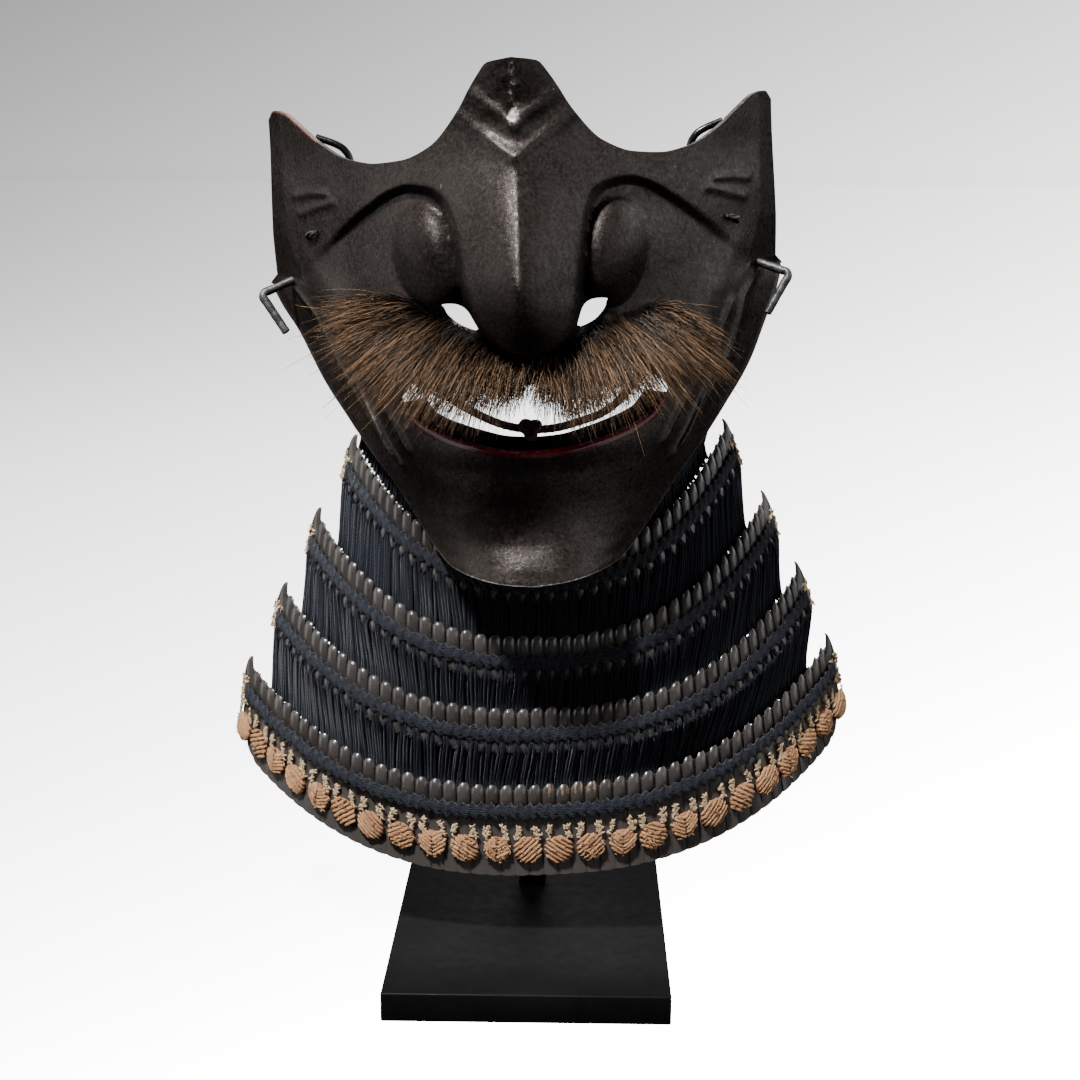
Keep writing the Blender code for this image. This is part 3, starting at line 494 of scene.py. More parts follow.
# a place on a lame: x along its head line from the middle, how far below it, how far out of the outer face
class Lame:
    def __init__(self, row):
        (self.middleX, self.halfWidth, self.frontY, self.setBack, self.power, self.middleZ, self.endRise,
         self.risePower, self.height, self.middleFlare, self.endFlare) = row
        self.xs = np.linspace(0, 1, 400)
        run = np.hypot(np.diff(self.xs * self.halfWidth), np.diff(self.setBack * self.xs**self.power))
        self.runs = np.concatenate([[0], np.cumsum(run)])
        self.halfLength = float(self.runs[-1])
        self.scales = 2 * round(self.halfLength / scalePitch)
        self.pitch = 2 * self.halfLength / self.scales

    # along runs from -1 to 1
    def at(self, along, below, out):
        share = np.interp(np.abs(along) * self.halfLength, self.runs, self.xs)
        sign = np.where(along >= 0, 1, -1)
        slope = sign * self.power * self.setBack / self.halfWidth * share ** (self.power - 1)
        length = np.hypot(slope, 1)
        away = out + (self.middleFlare + (self.endFlare - self.middleFlare) * share**2) * below
        return np.column_stack([
            self.middleX + sign * share * self.halfWidth + slope / length * away,
            self.frontY + self.setBack * share**self.power - away / length,
            self.middleZ + self.endRise * share**self.risePower - below + 0 * away])

    def alongOf(self, x):
        run = np.interp(np.abs(x - self.middleX) / self.halfWidth, self.xs, self.runs)
        return np.copysign(run / self.halfLength, x - self.middleX)

    # bends a piece that was modelled flat, facing -Y, with its head line at z 0, round the lame
    def wrap(self, piece):
        flat = readPoints(piece)
        along = np.clip(flat[:, 0] / self.halfLength, -1.03, 1.03)
        writePoints(piece, hung(self.at(along, -flat[:, 2], -flat[:, 1])))


# middleX, halfWidth, frontY, setBack, power, middleZ, endRise, risePower, height, middleFlare, endFlare
lames = [Lame(row) for row in (
    (3.0, 62.5, -20.0, 47.0, 3.0, 128.0, 33.0, 2.3, 12.6, 0.12, 0.30),
    (2.4, 75.0, -23.5, 47.0, 3.6, 103.9, 33.2, 2.2, 12.6, 0.12, 0.30),
    (1.5, 86.5, -27.0, 46.5, 3.4, 81.8, 31.5, 2.35, 12.6, 0.12, 0.30),
    (-0.2, 98.0, -30.5, 49.0, 3.0, 57.9, 30.3, 2.3, 28.0, 0.15, 0.20))]


# dark patina over forged iron: the piece's paint says where it is blackest, which is partly real patina and partly
# painted shade; where it is worn bright, partly with painted highlights; and where it is chipped
def ironFinish():
    iron = newMaterial("blackenedIron", (0.04, 0.034, 0.03), 0.5, 0.42)
    place = objectPlace(iron)
    clouds = addNoise(iron, place, 55, 5)
    grain = addNoise(iron, place, 900, 6, 0.65)
    mottle = addNoise(iron, place, 950, 8, 0.75)
    patinaAndShade, wearAndHighlight, copper = (readPaint(iron, name) for name in ("patinaAndShade", "wearAndHighlight", "copper"))
    color = mixColors(iron, spread(iron, clouds, 0.35, 0.65), (0.015, 0.009, 0.007), (0.038, 0.030, 0.026))
    color = mixColors(iron, spread(iron, mottle, 0.42, 0.68, 0, 0.85), color, (0.084, 0.072, 0.064))
    # the blackest patches are real patina and, in part, painted shade
    blackest = mathNode(iron, "MULTIPLY", patinaAndShade, spread(iron, mottle, 0.3, 0.7, 1.0, 0.72))
    color = mixColors(iron, blackest, color, (0.006, 0.004, 0.003))
    # bright worn iron, and in part painted highlights on the keel, the jaw edge and the mouth's rim
    brightWearAndHighlight = spread(iron, mathNode(iron, "ADD", mathNode(iron, "MULTIPLY", grain, 0.9), wearAndHighlight), 0.95, 1.25)
    color = mixColors(iron, brightWearAndHighlight, color, (0.42, 0.38, 0.35))
    chipped = spread(iron, mathNode(iron, "ADD", mathNode(iron, "MULTIPLY", grain, 0.8), copper), 0.85, 1.1)
    hammered = addBump(iron, addNoise(iron, place, 190, 6, 0.62), 0.34, 0.75)
    pitted = addBump(iron, addNoise(iron, place, 520, 7, 0.7), 0.2, 0.8, hammered)
    setShader(iron, {
        "Base Color": mixColors(iron, chipped, color, (0.32, 0.17, 0.13)),
        "Roughness": spread(iron, addNoise(iron, place, 500, 8, 0.75), 0.38, 0.62, 0.22, 0.56),
        "Specular IOR Level": spread(iron, patinaAndShade, 0, 1, 0.32, 0.06),
        "Normal": addBump(iron, grain, 0.09, 0.9, pitted)})
    return iron


# one noise mixes two colours, one varies the roughness and one dents the face;
# each is its lumps in a metre, its detail and, at times, its roughness
def cloudyFinish(name, dark, light, rough, dent, metallic=0.0, strength=1.0, share=(0.35, 0.65), clouds=(300, 5),
                 roughClouds=(700, 4), dents=(500, 3), stretch=(1, 1, 1), more=None):
    material = newMaterial(name, light, metallic, rough[0], more)
    place = objectPlace(material)
    streaks = objectPlace(material, stretch)
    setShader(material, {
        "Base Color": mixColors(material, spread(material, addNoise(material, place, *clouds), *share), dark, light),
        "Roughness": spread(material, addNoise(material, streaks, *roughClouds), 0.3, 0.7, *rough),
        "Normal": addBump(material, addNoise(material, place, *dents), dent, strength)})
    return material


# brown-grey lacquer; 'tone' varies it from scale to scale and, on the lowest lame's foot, carries painted light; 'worn'
# bares its tan ground
def scaleFinish():
    lacquer = newMaterial("scaleLacquer", (0.05, 0.043, 0.04), 0.0, 0.36, {"Coat Weight": 0.6, "Coat Roughness": 0.1})
    place = objectPlace(lacquer)
    tone, worn = readPaint(lacquer, "tone"), readPaint(lacquer, "worn")
    color = mixColors(lacquer, tone, (0.046, 0.039, 0.036), (0.088, 0.077, 0.071))
    speckle = addNoise(lacquer, place, 1500, 4, 0.6)
    color = mixColors(lacquer, spread(lacquer, speckle, 0.4, 0.7, 0, 0.2), color, (0.10, 0.085, 0.078))
    bared = spread(lacquer, mathNode(lacquer, "ADD", mathNode(lacquer, "MULTIPLY", speckle, 0.8), worn), 1.0, 1.15)
    setShader(lacquer, {
        "Base Color": mixColors(lacquer, bared, color, (0.34, 0.20, 0.12)),
        "Roughness": spread(lacquer, addNoise(lacquer, place, 600, 4), 0.3, 0.7, 0.24, 0.42),
        "Normal": addBump(lacquer, addNoise(lacquer, place, 420, 4), 0.1, 0.4)})
    return lacquer


# twisted silk: threads run slanted round the cord, on its own UV map (along, around)
def silkFinish(name, dark, light, threads, turn, lengths, depth=0.12, sheen=0.2, roughness=0.85, gloss=0.12):
    silk = newMaterial(name, light, 0.0, roughness,
                       {"Sheen Weight": sheen, "Sheen Roughness": 0.4, "Specular IOR Level": gloss})
    place = addNode(silk, "ShaderNodeUVMap", uv_map="UVMap")
    place = addNode(silk, "ShaderNodeMapping", {
        "Vector": place, "Scale": (lengths, threads, 1), "Rotation": (0, 0, math.radians(turn))})
    twist = addNode(silk, "ShaderNodeTexWave", {
        "Vector": place, "Scale": 1.0, "Distortion": 1.2, "Detail": 2.0, "Detail Scale": 2.0},
        wave_type="BANDS", bands_direction="Y")
    fuzz = addNoise(silk, objectPlace(silk), 1100, 6, 0.75)
    share = mathNode(silk, "ADD", mathNode(silk, "MULTIPLY", twist, 0.45),
                     mathNode(silk, "MULTIPLY", readPaint(silk, "tone"), 0.35))
    share = mathNode(silk, "ADD", share, spread(silk, fuzz, 0.35, 0.75, 0, 0.4))
    setShader(silk, {
        "Base Color": mixColors(silk, share, dark, light),
        "Normal": addBump(silk, twist, depth, 0.8, addBump(silk, fuzz, 0.16, 0.9))})
    return silk


# brown bristle: dark at the root, fair and dry at the tip, each hair its own tone
def hairFinish():
    hair = newMaterial("brownBristle", (0.11, 0.065, 0.035), 0.0, 0.38, {"Specular IOR Level": 0.4})
    tone, along = readPaint(hair, "tone"), readPaint(hair, "along")
    body = mixColors(hair, spread(hair, tone, 0.05, 0.9), (0.007, 0.0035, 0.002), (0.45, 0.25, 0.125))
    root = mixColors(hair, spread(hair, along, 0.16, 0.75, 0.97, 0.0), body, (0.004, 0.0022, 0.0016))
    tip = mixColors(hair, spread(hair, along, 0.65, 1.0, 0.0, 0.22), root, (0.40, 0.26, 0.15))
    setShader(hair, {"Base Color": tip})
    return hair


# lacquer with faint clouds, small pits and a soft gloss
def lacquerFinish(name, dark, light, roughness, dent, coat=0.3, gloss=0.5):
    return cloudyFinish(name, dark, light, (roughness - 0.06, roughness + 0.1), dent,
                        more={"Coat Weight": coat, "Coat Roughness": 0.15, "Specular IOR Level": gloss})


iron = ironFinish()
innerLacquer = lacquerFinish("innerLacquer", (0.030, 0.006, 0.006), (0.055, 0.012, 0.011), 0.3, 0.1)
redLacquer = lacquerFinish("redLacquer", (0.075, 0.002, 0.007), (0.14, 0.005, 0.013), 0.25, 0.05, 0.5, 0.3)
# the plate behind the lower lip is painted near black for the shade that falls on it
paintedShadeLacquer = lacquerFinish("paintedShadeLacquer", (0.001, 0.0008, 0.0008), (0.003, 0.0025, 0.0025), 0.5, 0.08, 0.0, 0.06)
liningCloth = lacquerFinish("liningCloth", (0.004, 0.006, 0.010), (0.012, 0.015, 0.024), 0.85, 0.2, 0.0)
scaleLacquer = scaleFinish()
navySilk = silkFinish("navySilk", (0.0025, 0.0032, 0.006), (0.026, 0.031, 0.045), 3.0, 20, 60)
plaitSilk = silkFinish("plaitSilk", (0.007, 0.008, 0.013), (0.058, 0.063, 0.080), 7.0, 0, 2.0, 0.25)
orangeSilk = silkFinish("orangeSilk", (0.24, 0.058, 0.018), (1.0, 0.56, 0.28), 4.0, 12, 6, 0.2, 0.1, 0.6, 0.4)
purpleSilk = silkFinish("purpleSilk", (0.03, 0.008, 0.016), (0.17, 0.06, 0.10), 4.0, 35, 260, 0.2)
bristle = hairFinish()
goldThread = cloudyFinish("goldThread", (0.55, 0.33, 0.16), (1.0, 0.82, 0.55), (0.42, 0.42), 0.15, 0.15, 0.8,
                          clouds=(1800, 5, 0.7), dents=(1800, 5, 0.7))
forgedIron = cloudyFinish("forgedIron", (0.07, 0.068, 0.068), (0.24, 0.235, 0.23), (0.38, 0.62), 0.35, 0.85, 0.8,
                          clouds=(380, 6, 0.65), roughClouds=(380, 6, 0.65), dents=(380, 6, 0.65))
blackPaint = cloudyFinish("mattBlackPaint", (0.005, 0.005, 0.0055), (0.008, 0.008, 0.0085), (0.48, 0.62), 0.03,
                          0.0, 0.5, (0.4, 0.7), (45, 6, 0.6), (300, 4), (2200, 3),
                          more={"Specular IOR Level": 0.2})
darkSteel = cloudyFinish("darkSteel", (0.06, 0.06, 0.065), (0.06, 0.06, 0.065), (0.2, 0.36), 0.05, 0.9,
                         roughClouds=(900, 4), dents=(260, 3), stretch=(1, 1, 0.1))
print("the finishes are mixed")


# what the hammer, the file and long use left on the mask, together with painted highlights and painted shade
marks = {
    # middle value, depth, lump size, seed
    "dents": [(0, 0.22, 14, 3.1), (0, 0.07, 5, 8.7)],
    "grooveDepths": (0.7, 1.1, 1.6, 5.2), "ragged": (0.6, 0.8, 1.1, 6.6),
    # x, half width, from this height to this, over this; then how far it wanders and how deep or high it is
    "groove": (-0.6, 1.5, 263, 277, 2, 0.7, 0.95), "keel": (0.0, 0.7, 226, 250, 10, 0.3, 0.25),
    # x, half width, from this height to this, over this, share painted bright: wear, and in part a painted highlight
    "lobe": (-0.4, 2.2, 262, 279, 2, 0.55), "keelWearAndHighlight": (0.0, 0.9, 226, 256, 6, 0.6),
    "boss": (260, 9, 0.55), "jaw": (0.7, 0.75), "mouthRim": (160, 172, 3, 42, 0.35),
    "wornAndHighlitSpots": [(-23.0, 243.0), (49.5, 246.0), (12.5, 270.0)],
    "spotWearAndHighlight": 0.7, "spotStretch": 1.6, "spotSize": 0.8,
    "copperFrom": -62, "copperOver": 8, "copperWidth": 0.8,
    # x, z, how wide and tall, share: where the patina is blackest, which is partly painted shade
    "patinaAndShade": [
        (-1.0, 204.0, 18.0, 16.0, 1.0), (48.0, 210.0, 14.0, 13.0, 0.7), (-6.0, 148.0, 15.0, 9.5, 1.0),
        (-16.0, 142.0, 11.0, 6.5, 0.9), (0.0, 271.0, 12.0, 9.0, 0.7), (28.0, 214.0, 9.0, 10.0, 0.7),
        (-27.0, 220.0, 9.0, 13.0, 0.8)],
}


# moves the points at each opening's edge onto its outline; gives the faces to cut out and the edge points
def cutOpenings(piece, x, z):
    quads = readQuads(piece)
    middleX, middleZ = x[quads].mean(1), z[quads].mean(1)
    cutOut = np.zeros(len(quads), bool)
    onEdge = np.zeros(len(x))
    nostril, cordHole = closedOutline(mask["nostril"], 60), closedOutline(mask["cordHole"], 40)
    flip = np.array([-1, 1])
    for outline in (mouthOutline(), nostril, nostril * flip, cordHole, cordHole * flip):
        gone = insideOutline(middleX, middleZ, outline)
        cutOut |= gone
        touched, kept = np.zeros(len(x), bool), np.zeros(len(x), bool)
        touched[quads[gone].ravel()] = True
        kept[quads[~gone].ravel()] = True
        rim = np.flatnonzero(touched & kept)
        x[rim], z[rim] = nearestOnOutline(x[rim], z[rim], outline)
        onEdge[rim] = 1
    return cutOut, onEdge


# a formed sheet with its mouth, nostrils and cord holes cut through, then given its wall
def makeMask():
    places = {}

    def place(u, v):
        s = 2 * u - 1
        x = mask["halfWidth"] * ((1 + mask["sideFineness"]) * s - mask["sideFineness"] * s**3)
        low, high = smoothCurve(mask["jawEdge"], abs(x)), smoothCurve(mask["topEdge"], abs(x))
        z = low + (high - low) * v
        places["x"], places["z"] = x, z
        return np.column_stack([x, np.zeros_like(x), z])

    piece = addSheet("maskShell", mask["columns"], mask["rows"], place)
    x, z = places["x"], places["z"]
    cutOut, onEdge = cutOpenings(piece, x, z)

    flat = np.column_stack([x, z, np.zeros_like(x)])
    dents = sum(lumps(flat, *row) for row in marks["dents"])
    atX, halfWidth, low, high, soft, wander, depth = marks["groove"]
    groove = hill(x - wander * np.sin(z * 0.9) - atX, halfWidth) * between(z, low, high, soft)
    groove *= lumps(flat, *marks["grooveDepths"])
    ragged = lumps(flat, *marks["ragged"])
    atX, halfWidth, low, high, soft, wander, height = marks["keel"]
    keel = hill(x - wander * ragged - atX, halfWidth) * between(z, low, high, soft)
    y = maskFace(x, z) + dents + depth * groove - height * keel
    writePoints(piece, hung(np.column_stack([shifted(x, z), y, z])))

    # bright paint: worn iron, and painted highlights along the keel, the jaw edge, the mouth's lower rim and a few
    # small spots
    atX, halfWidth, low, high, soft, share = marks["lobe"]
    worn = hill(x - atX, halfWidth) * between(z, low, high, soft) * share
    edgeWidth, share = marks["jaw"]
    worn += hill(z - smoothCurve(mask["jawEdge"], abs(x)), edgeWidth) * share
    low, high, soft, reach, share = marks["mouthRim"]
    worn += onEdge * between(z, low, high, soft) * (abs(x) < reach) * share
    atZ, size, share = marks["boss"]
    worn += np.exp(-(x**2 + (z - atZ) ** 2) / size) * share
    atX, halfWidth, low, high, soft, share = marks["keelWearAndHighlight"]
    worn += hill(x - wander * ragged - atX, halfWidth) * between(z, low, high, soft) * share * ragged
    for spotX, spotZ in marks["wornAndHighlitSpots"]:
        away = (x - spotX) ** 2 + ((z - spotZ) / marks["spotStretch"]) ** 2
        worn += marks["spotWearAndHighlight"] * np.exp(-away / marks["spotSize"])
    paintPoints(piece, "wearAndHighlight", np.clip(worn, 0, 1))
    # the blackest patina: real patina, and painted shade at the nose's tip and wings, the chin, the forehead and a
    # cheek
    patinaAndShade = sum(share * np.exp(-((x - atX) / wide) ** 2 - ((z - atZ) / tall) ** 2)
                 for atX, atZ, wide, tall, share in marks["patinaAndShade"])
    paintPoints(piece, "patinaAndShade", np.clip(patinaAndShade, 0, 1))
    topGap = smoothCurve(mask["topEdge"], abs(x)) - z
    bare = (x < marks["copperFrom"]) * smoothStep((marks["copperFrom"] - x) / marks["copperOver"])
    paintPoints(piece, "copper", bare * hill(topGap, marks["copperWidth"]))

    selectOnly(piece)
    bpy.ops.object.mode_set(mode="EDIT")
    bpy.ops.mesh.select_mode(type="FACE")
    bpy.ops.object.mode_set(mode="OBJECT")
    piece.data.polygons.foreach_set("select", cutOut)
    bpy.ops.object.mode_set(mode="EDIT")
    bpy.ops.mesh.delete(type="FACE")
    bpy.ops.object.mode_set(mode="OBJECT")
    for finish in (iron, innerLacquer):
        piece.data.materials.append(finish)
    useModifier(piece, "SOLIDIFY", thickness=mask["wall"] * mm, offset=-1, material_offset=1,
                material_offset_rim=0)  # an even wall would spike in the folds
    finishPiece(piece, None, 55, "blackened_iron", "mask_shell")


makeMask()

lip = {
    "halfWidth": 41.8, "columns": 160,
    # how far inside the shell's face, how far above its edge: the red bevel first, then the plate behind, painted near
    # black as its shade
    "section": [
        (0.1, 0.1), (0.15, 1.1), (0.6, 1.9), (1.4, 2.3), (2.4, 2.0), (3.6, 1.3), (4.6, 1.9), (4.9, 5.6),
        (5.9, 5.6), (6.2, 0.6), (5.0, -1.4), (3.9, -1.4), (3.0, 0.1)],
    "redUpTo": 4.4, "rows": 52, "cornerDrop": 0.35,
}


def makeLip():
    section = lip["section"] + lip["section"][:1]

    def place(u, v):
        x = (2 * u - 1) * lip["halfWidth"]
        z = smoothCurve(mask["mouthLower"], abs(x))
        slope = slopeOf(lambda at: maskFace(at, z - 1), x, 0.5)
        length = np.hypot(slope, 1)
        at = (1 - v) * (len(section) - 1)
        depth, up = (np.interp(at, range(len(section)), [row[k] for row in section]) for k in (0, 1))
        share = abs(x / lip["halfWidth"])
        up = up * (1 - lip["cornerDrop"] * share**6)
        edge = np.copysign(slopeOf(lambda at: smoothCurve(mask["mouthLower"], at), abs(x), 0.3), x)
        leaning = edge / np.hypot(edge, 1)
        atX = x - up * leaning
        face = maskFace(atX, z)
        return hung(np.column_stack([shifted(atX, z) - slope / length * depth, face + depth / length,
                                     z + up * np.sqrt(1 - leaning**2)]))

    piece = addSheet("lowerLip", lip["columns"], lip["rows"], place)
    for finish in (redLacquer, paintedShadeLacquer):
        piece.data.materials.append(finish)
    rows = np.arange(len(piece.data.polygons)) // lip["columns"]
    at = (1 - (rows + 0.5) / lip["rows"]) * (len(section) - 1)
    piece.data.polygons.foreach_set("material_index", (at > lip["redUpTo"]).astype(np.int32))
    closeSheet(piece)
    finishPiece(piece, None, 40, "red_lacquer", "lower_lip")


makeLip()

hooks = {
    "radius": 1.4, "gap": 0.3, "root": (76.5, 213.5), "corner": (88.3, 209.5, 5.0), "end": (80.3, 196.5, 7.0),
    "uneven": (1, 0.08, 2.5, 4), "endTaper": (0.85, 0.55), "points": 60,
}


def makeHooks():
    for side, sign in (("Left", -1), ("Right", 1)):
        root = onFace(sign * hooks["root"][0], hooks["root"][1], hooks["radius"] + hooks["gap"])[0]
        corner, end = (np.array([sign * x, root[1] - before, z]) for x, z, before in (hooks["corner"], hooks["end"]))
        bend = [corner + (root - corner) * share for share in (1, 0.75, 0.5, 0.25, 0.1)]
        bend += [corner + (end - corner) * share for share in (0.08, 0.25, 0.5, 0.75, 0.93, 1)]
        line = roundedLine(bend, hooks["points"])
        radii = hooks["radius"] * lumps(line, *hooks["uneven"])
        radii[-2:] *= hooks["endTaper"]
        piece = addCords(f"hook{side}", [line], [radii], 14)
        finishPiece(piece, forgedIron, 60, "forged_iron", f"hook_{side.lower()}")


stitch = {
    "radius": 0.55, "apart": 0.42, "twist": 9.0, "points": 50,
    "route": [(66.2, 229.6, 1.1), (68.0, 229.0, 1.7), (70.0, 228.2, 1.1), (70.8, 227.6, -0.6), (71.0, 227.4, -4.0)],
}


# two strands twisted round each other
def makeStitches():
    for side, sign in (("Left", -1), ("Right", 1)):
        line = roundedLine(np.vstack([onFace(sign * x, z, out) for x, z, out in stitch["route"]]), stitch["points"])
        turn = np.linspace(0, stitch["twist"], stitch["points"])
        strands = [line + stitch["apart"] * np.column_stack([np.cos(turn + start), 0 * turn, np.sin(turn + start)])
                   for start in (0, math.pi)]
        piece = addCords(f"cordStitch{side}", strands, stitch["radius"], 8)
        finishPiece(piece, forgedIron, 60, "forged_iron", f"cord_stitch_{side.lower()}")


makeHooks()
makeStitches()

moustache = {
    "hairs": 4200, "points": 6, "radius": 0.125, "thickness": 4.2, "clumps": 420, "clumping": 0.42, "stray": 2.8,
    "fair": 0.27,
    "left": [
        # root x, root z, tip x, tip y, tip z
        (0.6, 190.0, 0.0, -48.0, 184.0), (-5.5, 191.5, -7.5, -49.5, 180.5), (-11.0, 194.0, -17.5, -48.5, 178.5),
        (-16.0, 197.0, -27.0, -45.0, 178.5), (-20.5, 199.5, -35.0, -39.0, 180.5), (-24.5, 201.5, -43.0, -33.0, 183.5),
        (-28.0, 203.0, -49.5, -28.0, 187.0), (-31.0, 204.0, -54.0, -23.0, 194.0), (-33.5, 205.5, -56.5, -18.0, 201.5),
        (-35.5, 207.0, -57.0, -14.0, 209.0)],
    "right": [
        (2.4, 190.0, 3.0, -48.0, 182.5), (9.0, 192.5, 13.0, -49.5, 175.5), (15.0, 195.5, 22.0, -48.0, 177.5),
        (20.5, 198.0, 31.0, -44.0, 180.0), (25.5, 200.0, 39.5, -38.0, 181.5), (30.0, 201.0, 48.0, -31.0, 183.0),
        (34.0, 201.5, 54.5, -25.0, 184.5), (37.0, 202.0, 58.5, -20.0, 189.0), (39.0, 203.0, 52.0, -20.0, 201.0)],
    "wild": 0.02, "wildReach": 1.35,  # hairs that stray furthest
    "rootSink": 0.15, "rootSpread": (0.8, 1.5, 0.5),  # below the face; across, by layer and at random up
    "short": (0.58, 1.1), "long": (1.1, 1.25), "longShare": 0.09, "curl": 0.75, "jitter": 0.6,
    "bend": 0.45, "bendOut": (2.2, 1.2), "bendUp": (2.2, 1.5),  # where a hair bends, and how far, by layer
    "radiusSpread": (0.75, 1.25), "tipRadius": 0.4,
    "clumpFair": (0.1, 1.9), "middleFair": ([0, 3], [0.7, 1.05]), "fairTones": (0.6, 1), "darkTones": (0, 0.28),
}


def makeMoustache(side, slotNode):
    table = np.array(moustache[side])
    count, clumps = moustache["hairs"], moustache["clumps"]
    at = rng.uniform(0, len(table) - 1, count)
    rootX, rootZ, tipX, tipY, tipZ = (np.interp(at, range(len(table)), table[:, k]) for k in range(5))
    layer = rng.uniform(-1, 1, count)
    across, byLayer, upward = moustache["rootSpread"]
    root = onFace(rootX + rng.normal(0, across, count), rootZ + byLayer * layer + rng.normal(0, upward, count),
                  moustache["rootSink"])
    out = onFace(rootX, rootZ, 1.0) - onFace(rootX, rootZ, 0.0)
    tip = np.column_stack([tipX, tipY, tipZ]) + (
        out * (layer * moustache["thickness"])[:, None] + rng.normal(0, moustache["stray"], (count, 3)))

    # tips lean to the middle of their clump
    clumpAt = rng.uniform(0, len(table) - 1, clumps)
    clumpLayer = rng.uniform(-1, 1, clumps)
    nearest = np.argmin(((at[:, None] - clumpAt) * 3) ** 2 + (layer[:, None] - clumpLayer) ** 2, axis=1)
    clumpTip = np.array([tip[nearest == k].mean(0) if (nearest == k).any() else np.zeros(3) for k in range(clumps)])
    tip += (clumpTip[nearest] - tip) * moustache["clumping"] * rng.uniform(0.3, 1, count)[:, None]
    length = np.where(rng.uniform(size=count) < moustache["longShare"], rng.uniform(*moustache["long"], count),
                      rng.uniform(*moustache["short"], count))
    wild = (rng.uniform(size=count) < moustache["wild"]) & (at > 3)
    length = np.where(wild, moustache["wildReach"] * length, length)
    tip = root + (tip - root) * length[:, None]

    (outBy, outLayer), (upBy, upLayer) = moustache["bendOut"], moustache["bendUp"]
    middle = root + (tip - root) * moustache["bend"] + np.column_stack([
        np.zeros(count), -outBy - outLayer * layer, upBy + upLayer * layer])
    middle += rng.normal(0, moustache["jitter"], (count, 3))
    t = np.linspace(0, 1, moustache["points"])[None, :, None]
    lines = root[:, None] * (1 - t) ** 2 + 2 * middle[:, None] * t * (1 - t) + tip[:, None] * t**2
    lines += rng.normal(0, moustache["curl"], (count, 1, 3)) * np.sin(
        t * math.pi * rng.uniform(1, 2.5, (count, 1, 1)))
    taper = np.linspace(1, moustache["tipRadius"], moustache["points"])
    radii = moustache["radius"] * rng.uniform(*moustache["radiusSpread"], (count, 1)) * taper
    fair = moustache["fair"] * rng.uniform(*moustache["clumpFair"], clumps)[nearest]
    fair *= np.interp(at, *moustache["middleFair"])
    tones = np.where(rng.uniform(size=count) < fair, rng.uniform(*moustache["fairTones"], count),
                     rng.uniform(*moustache["darkTones"], count))
    piece = addCords(f"moustache{side.capitalize()}", lines, radii, 4, tones=tones)
    finishPiece(piece, bristle, None, "brown_hair", slotNode)


makeMoustache("left", "moustache_left")
makeMoustache("right", "moustache_right")

scales = {
    "columns": 6, "rows": 11, "dome": 1.4, "round": 2.7, "narrow": 0.4, "lean": 0.3, "wall": 0.6, "pointDrop": 1.1,
    "headWidth": 0.89, "endRise": 1.6, "endLength": 9.0, "tipRise": 1.8, "tipWiden": 1.5, "tipFlare": 1.0,
    "endRounding": (4.0, 4.0, 4.0, 13.0),
    "top": 0.4, "flatFrom": 4.5, "flatOver": 3.0,  # below its head a scale is flat
    "footFrom": 9.0, "footLift": 1.3, "footBand": (10, 12.0, 1.4), "footSpread": 1.9, "footBow": 0.2,
    "headLoose": (0.14, 0.07), "headOver": 8.0, "tipFrom": (0.3, 7), "tipFade": (6, 5), "cornerFrom": 6,
    # the lowest lame's foot is painted paler from this depth, over this depth, by this much: painted light
    "tones": (0.45, 0.2), "footPaintedLight": (10, 4, 0.9),
    "wornSpan": (2, 18), "wornShare": 0.55, "wornWaves": (0.3, 3.1), "wornFade": (2, 4),
    "backFrom": 1.6, "backShort": 0.6, "backOut": 0.9, "backWall": 0.8, "backRows": 6,
    # an upper lame's scale, and one of the lowest lame's, which are long and smooth at the foot
    "extraRows": (0, 8), "rowEase": (1.5, 1.25), "flatten": (0.6, 0.85),
}


# how far the foot rises where it is this near to the lame's end
def cornerRise(left, rounding):
    return rounding * (1 - np.sqrt(1 - np.clip(1 - left / rounding, 0, 1) ** 2))


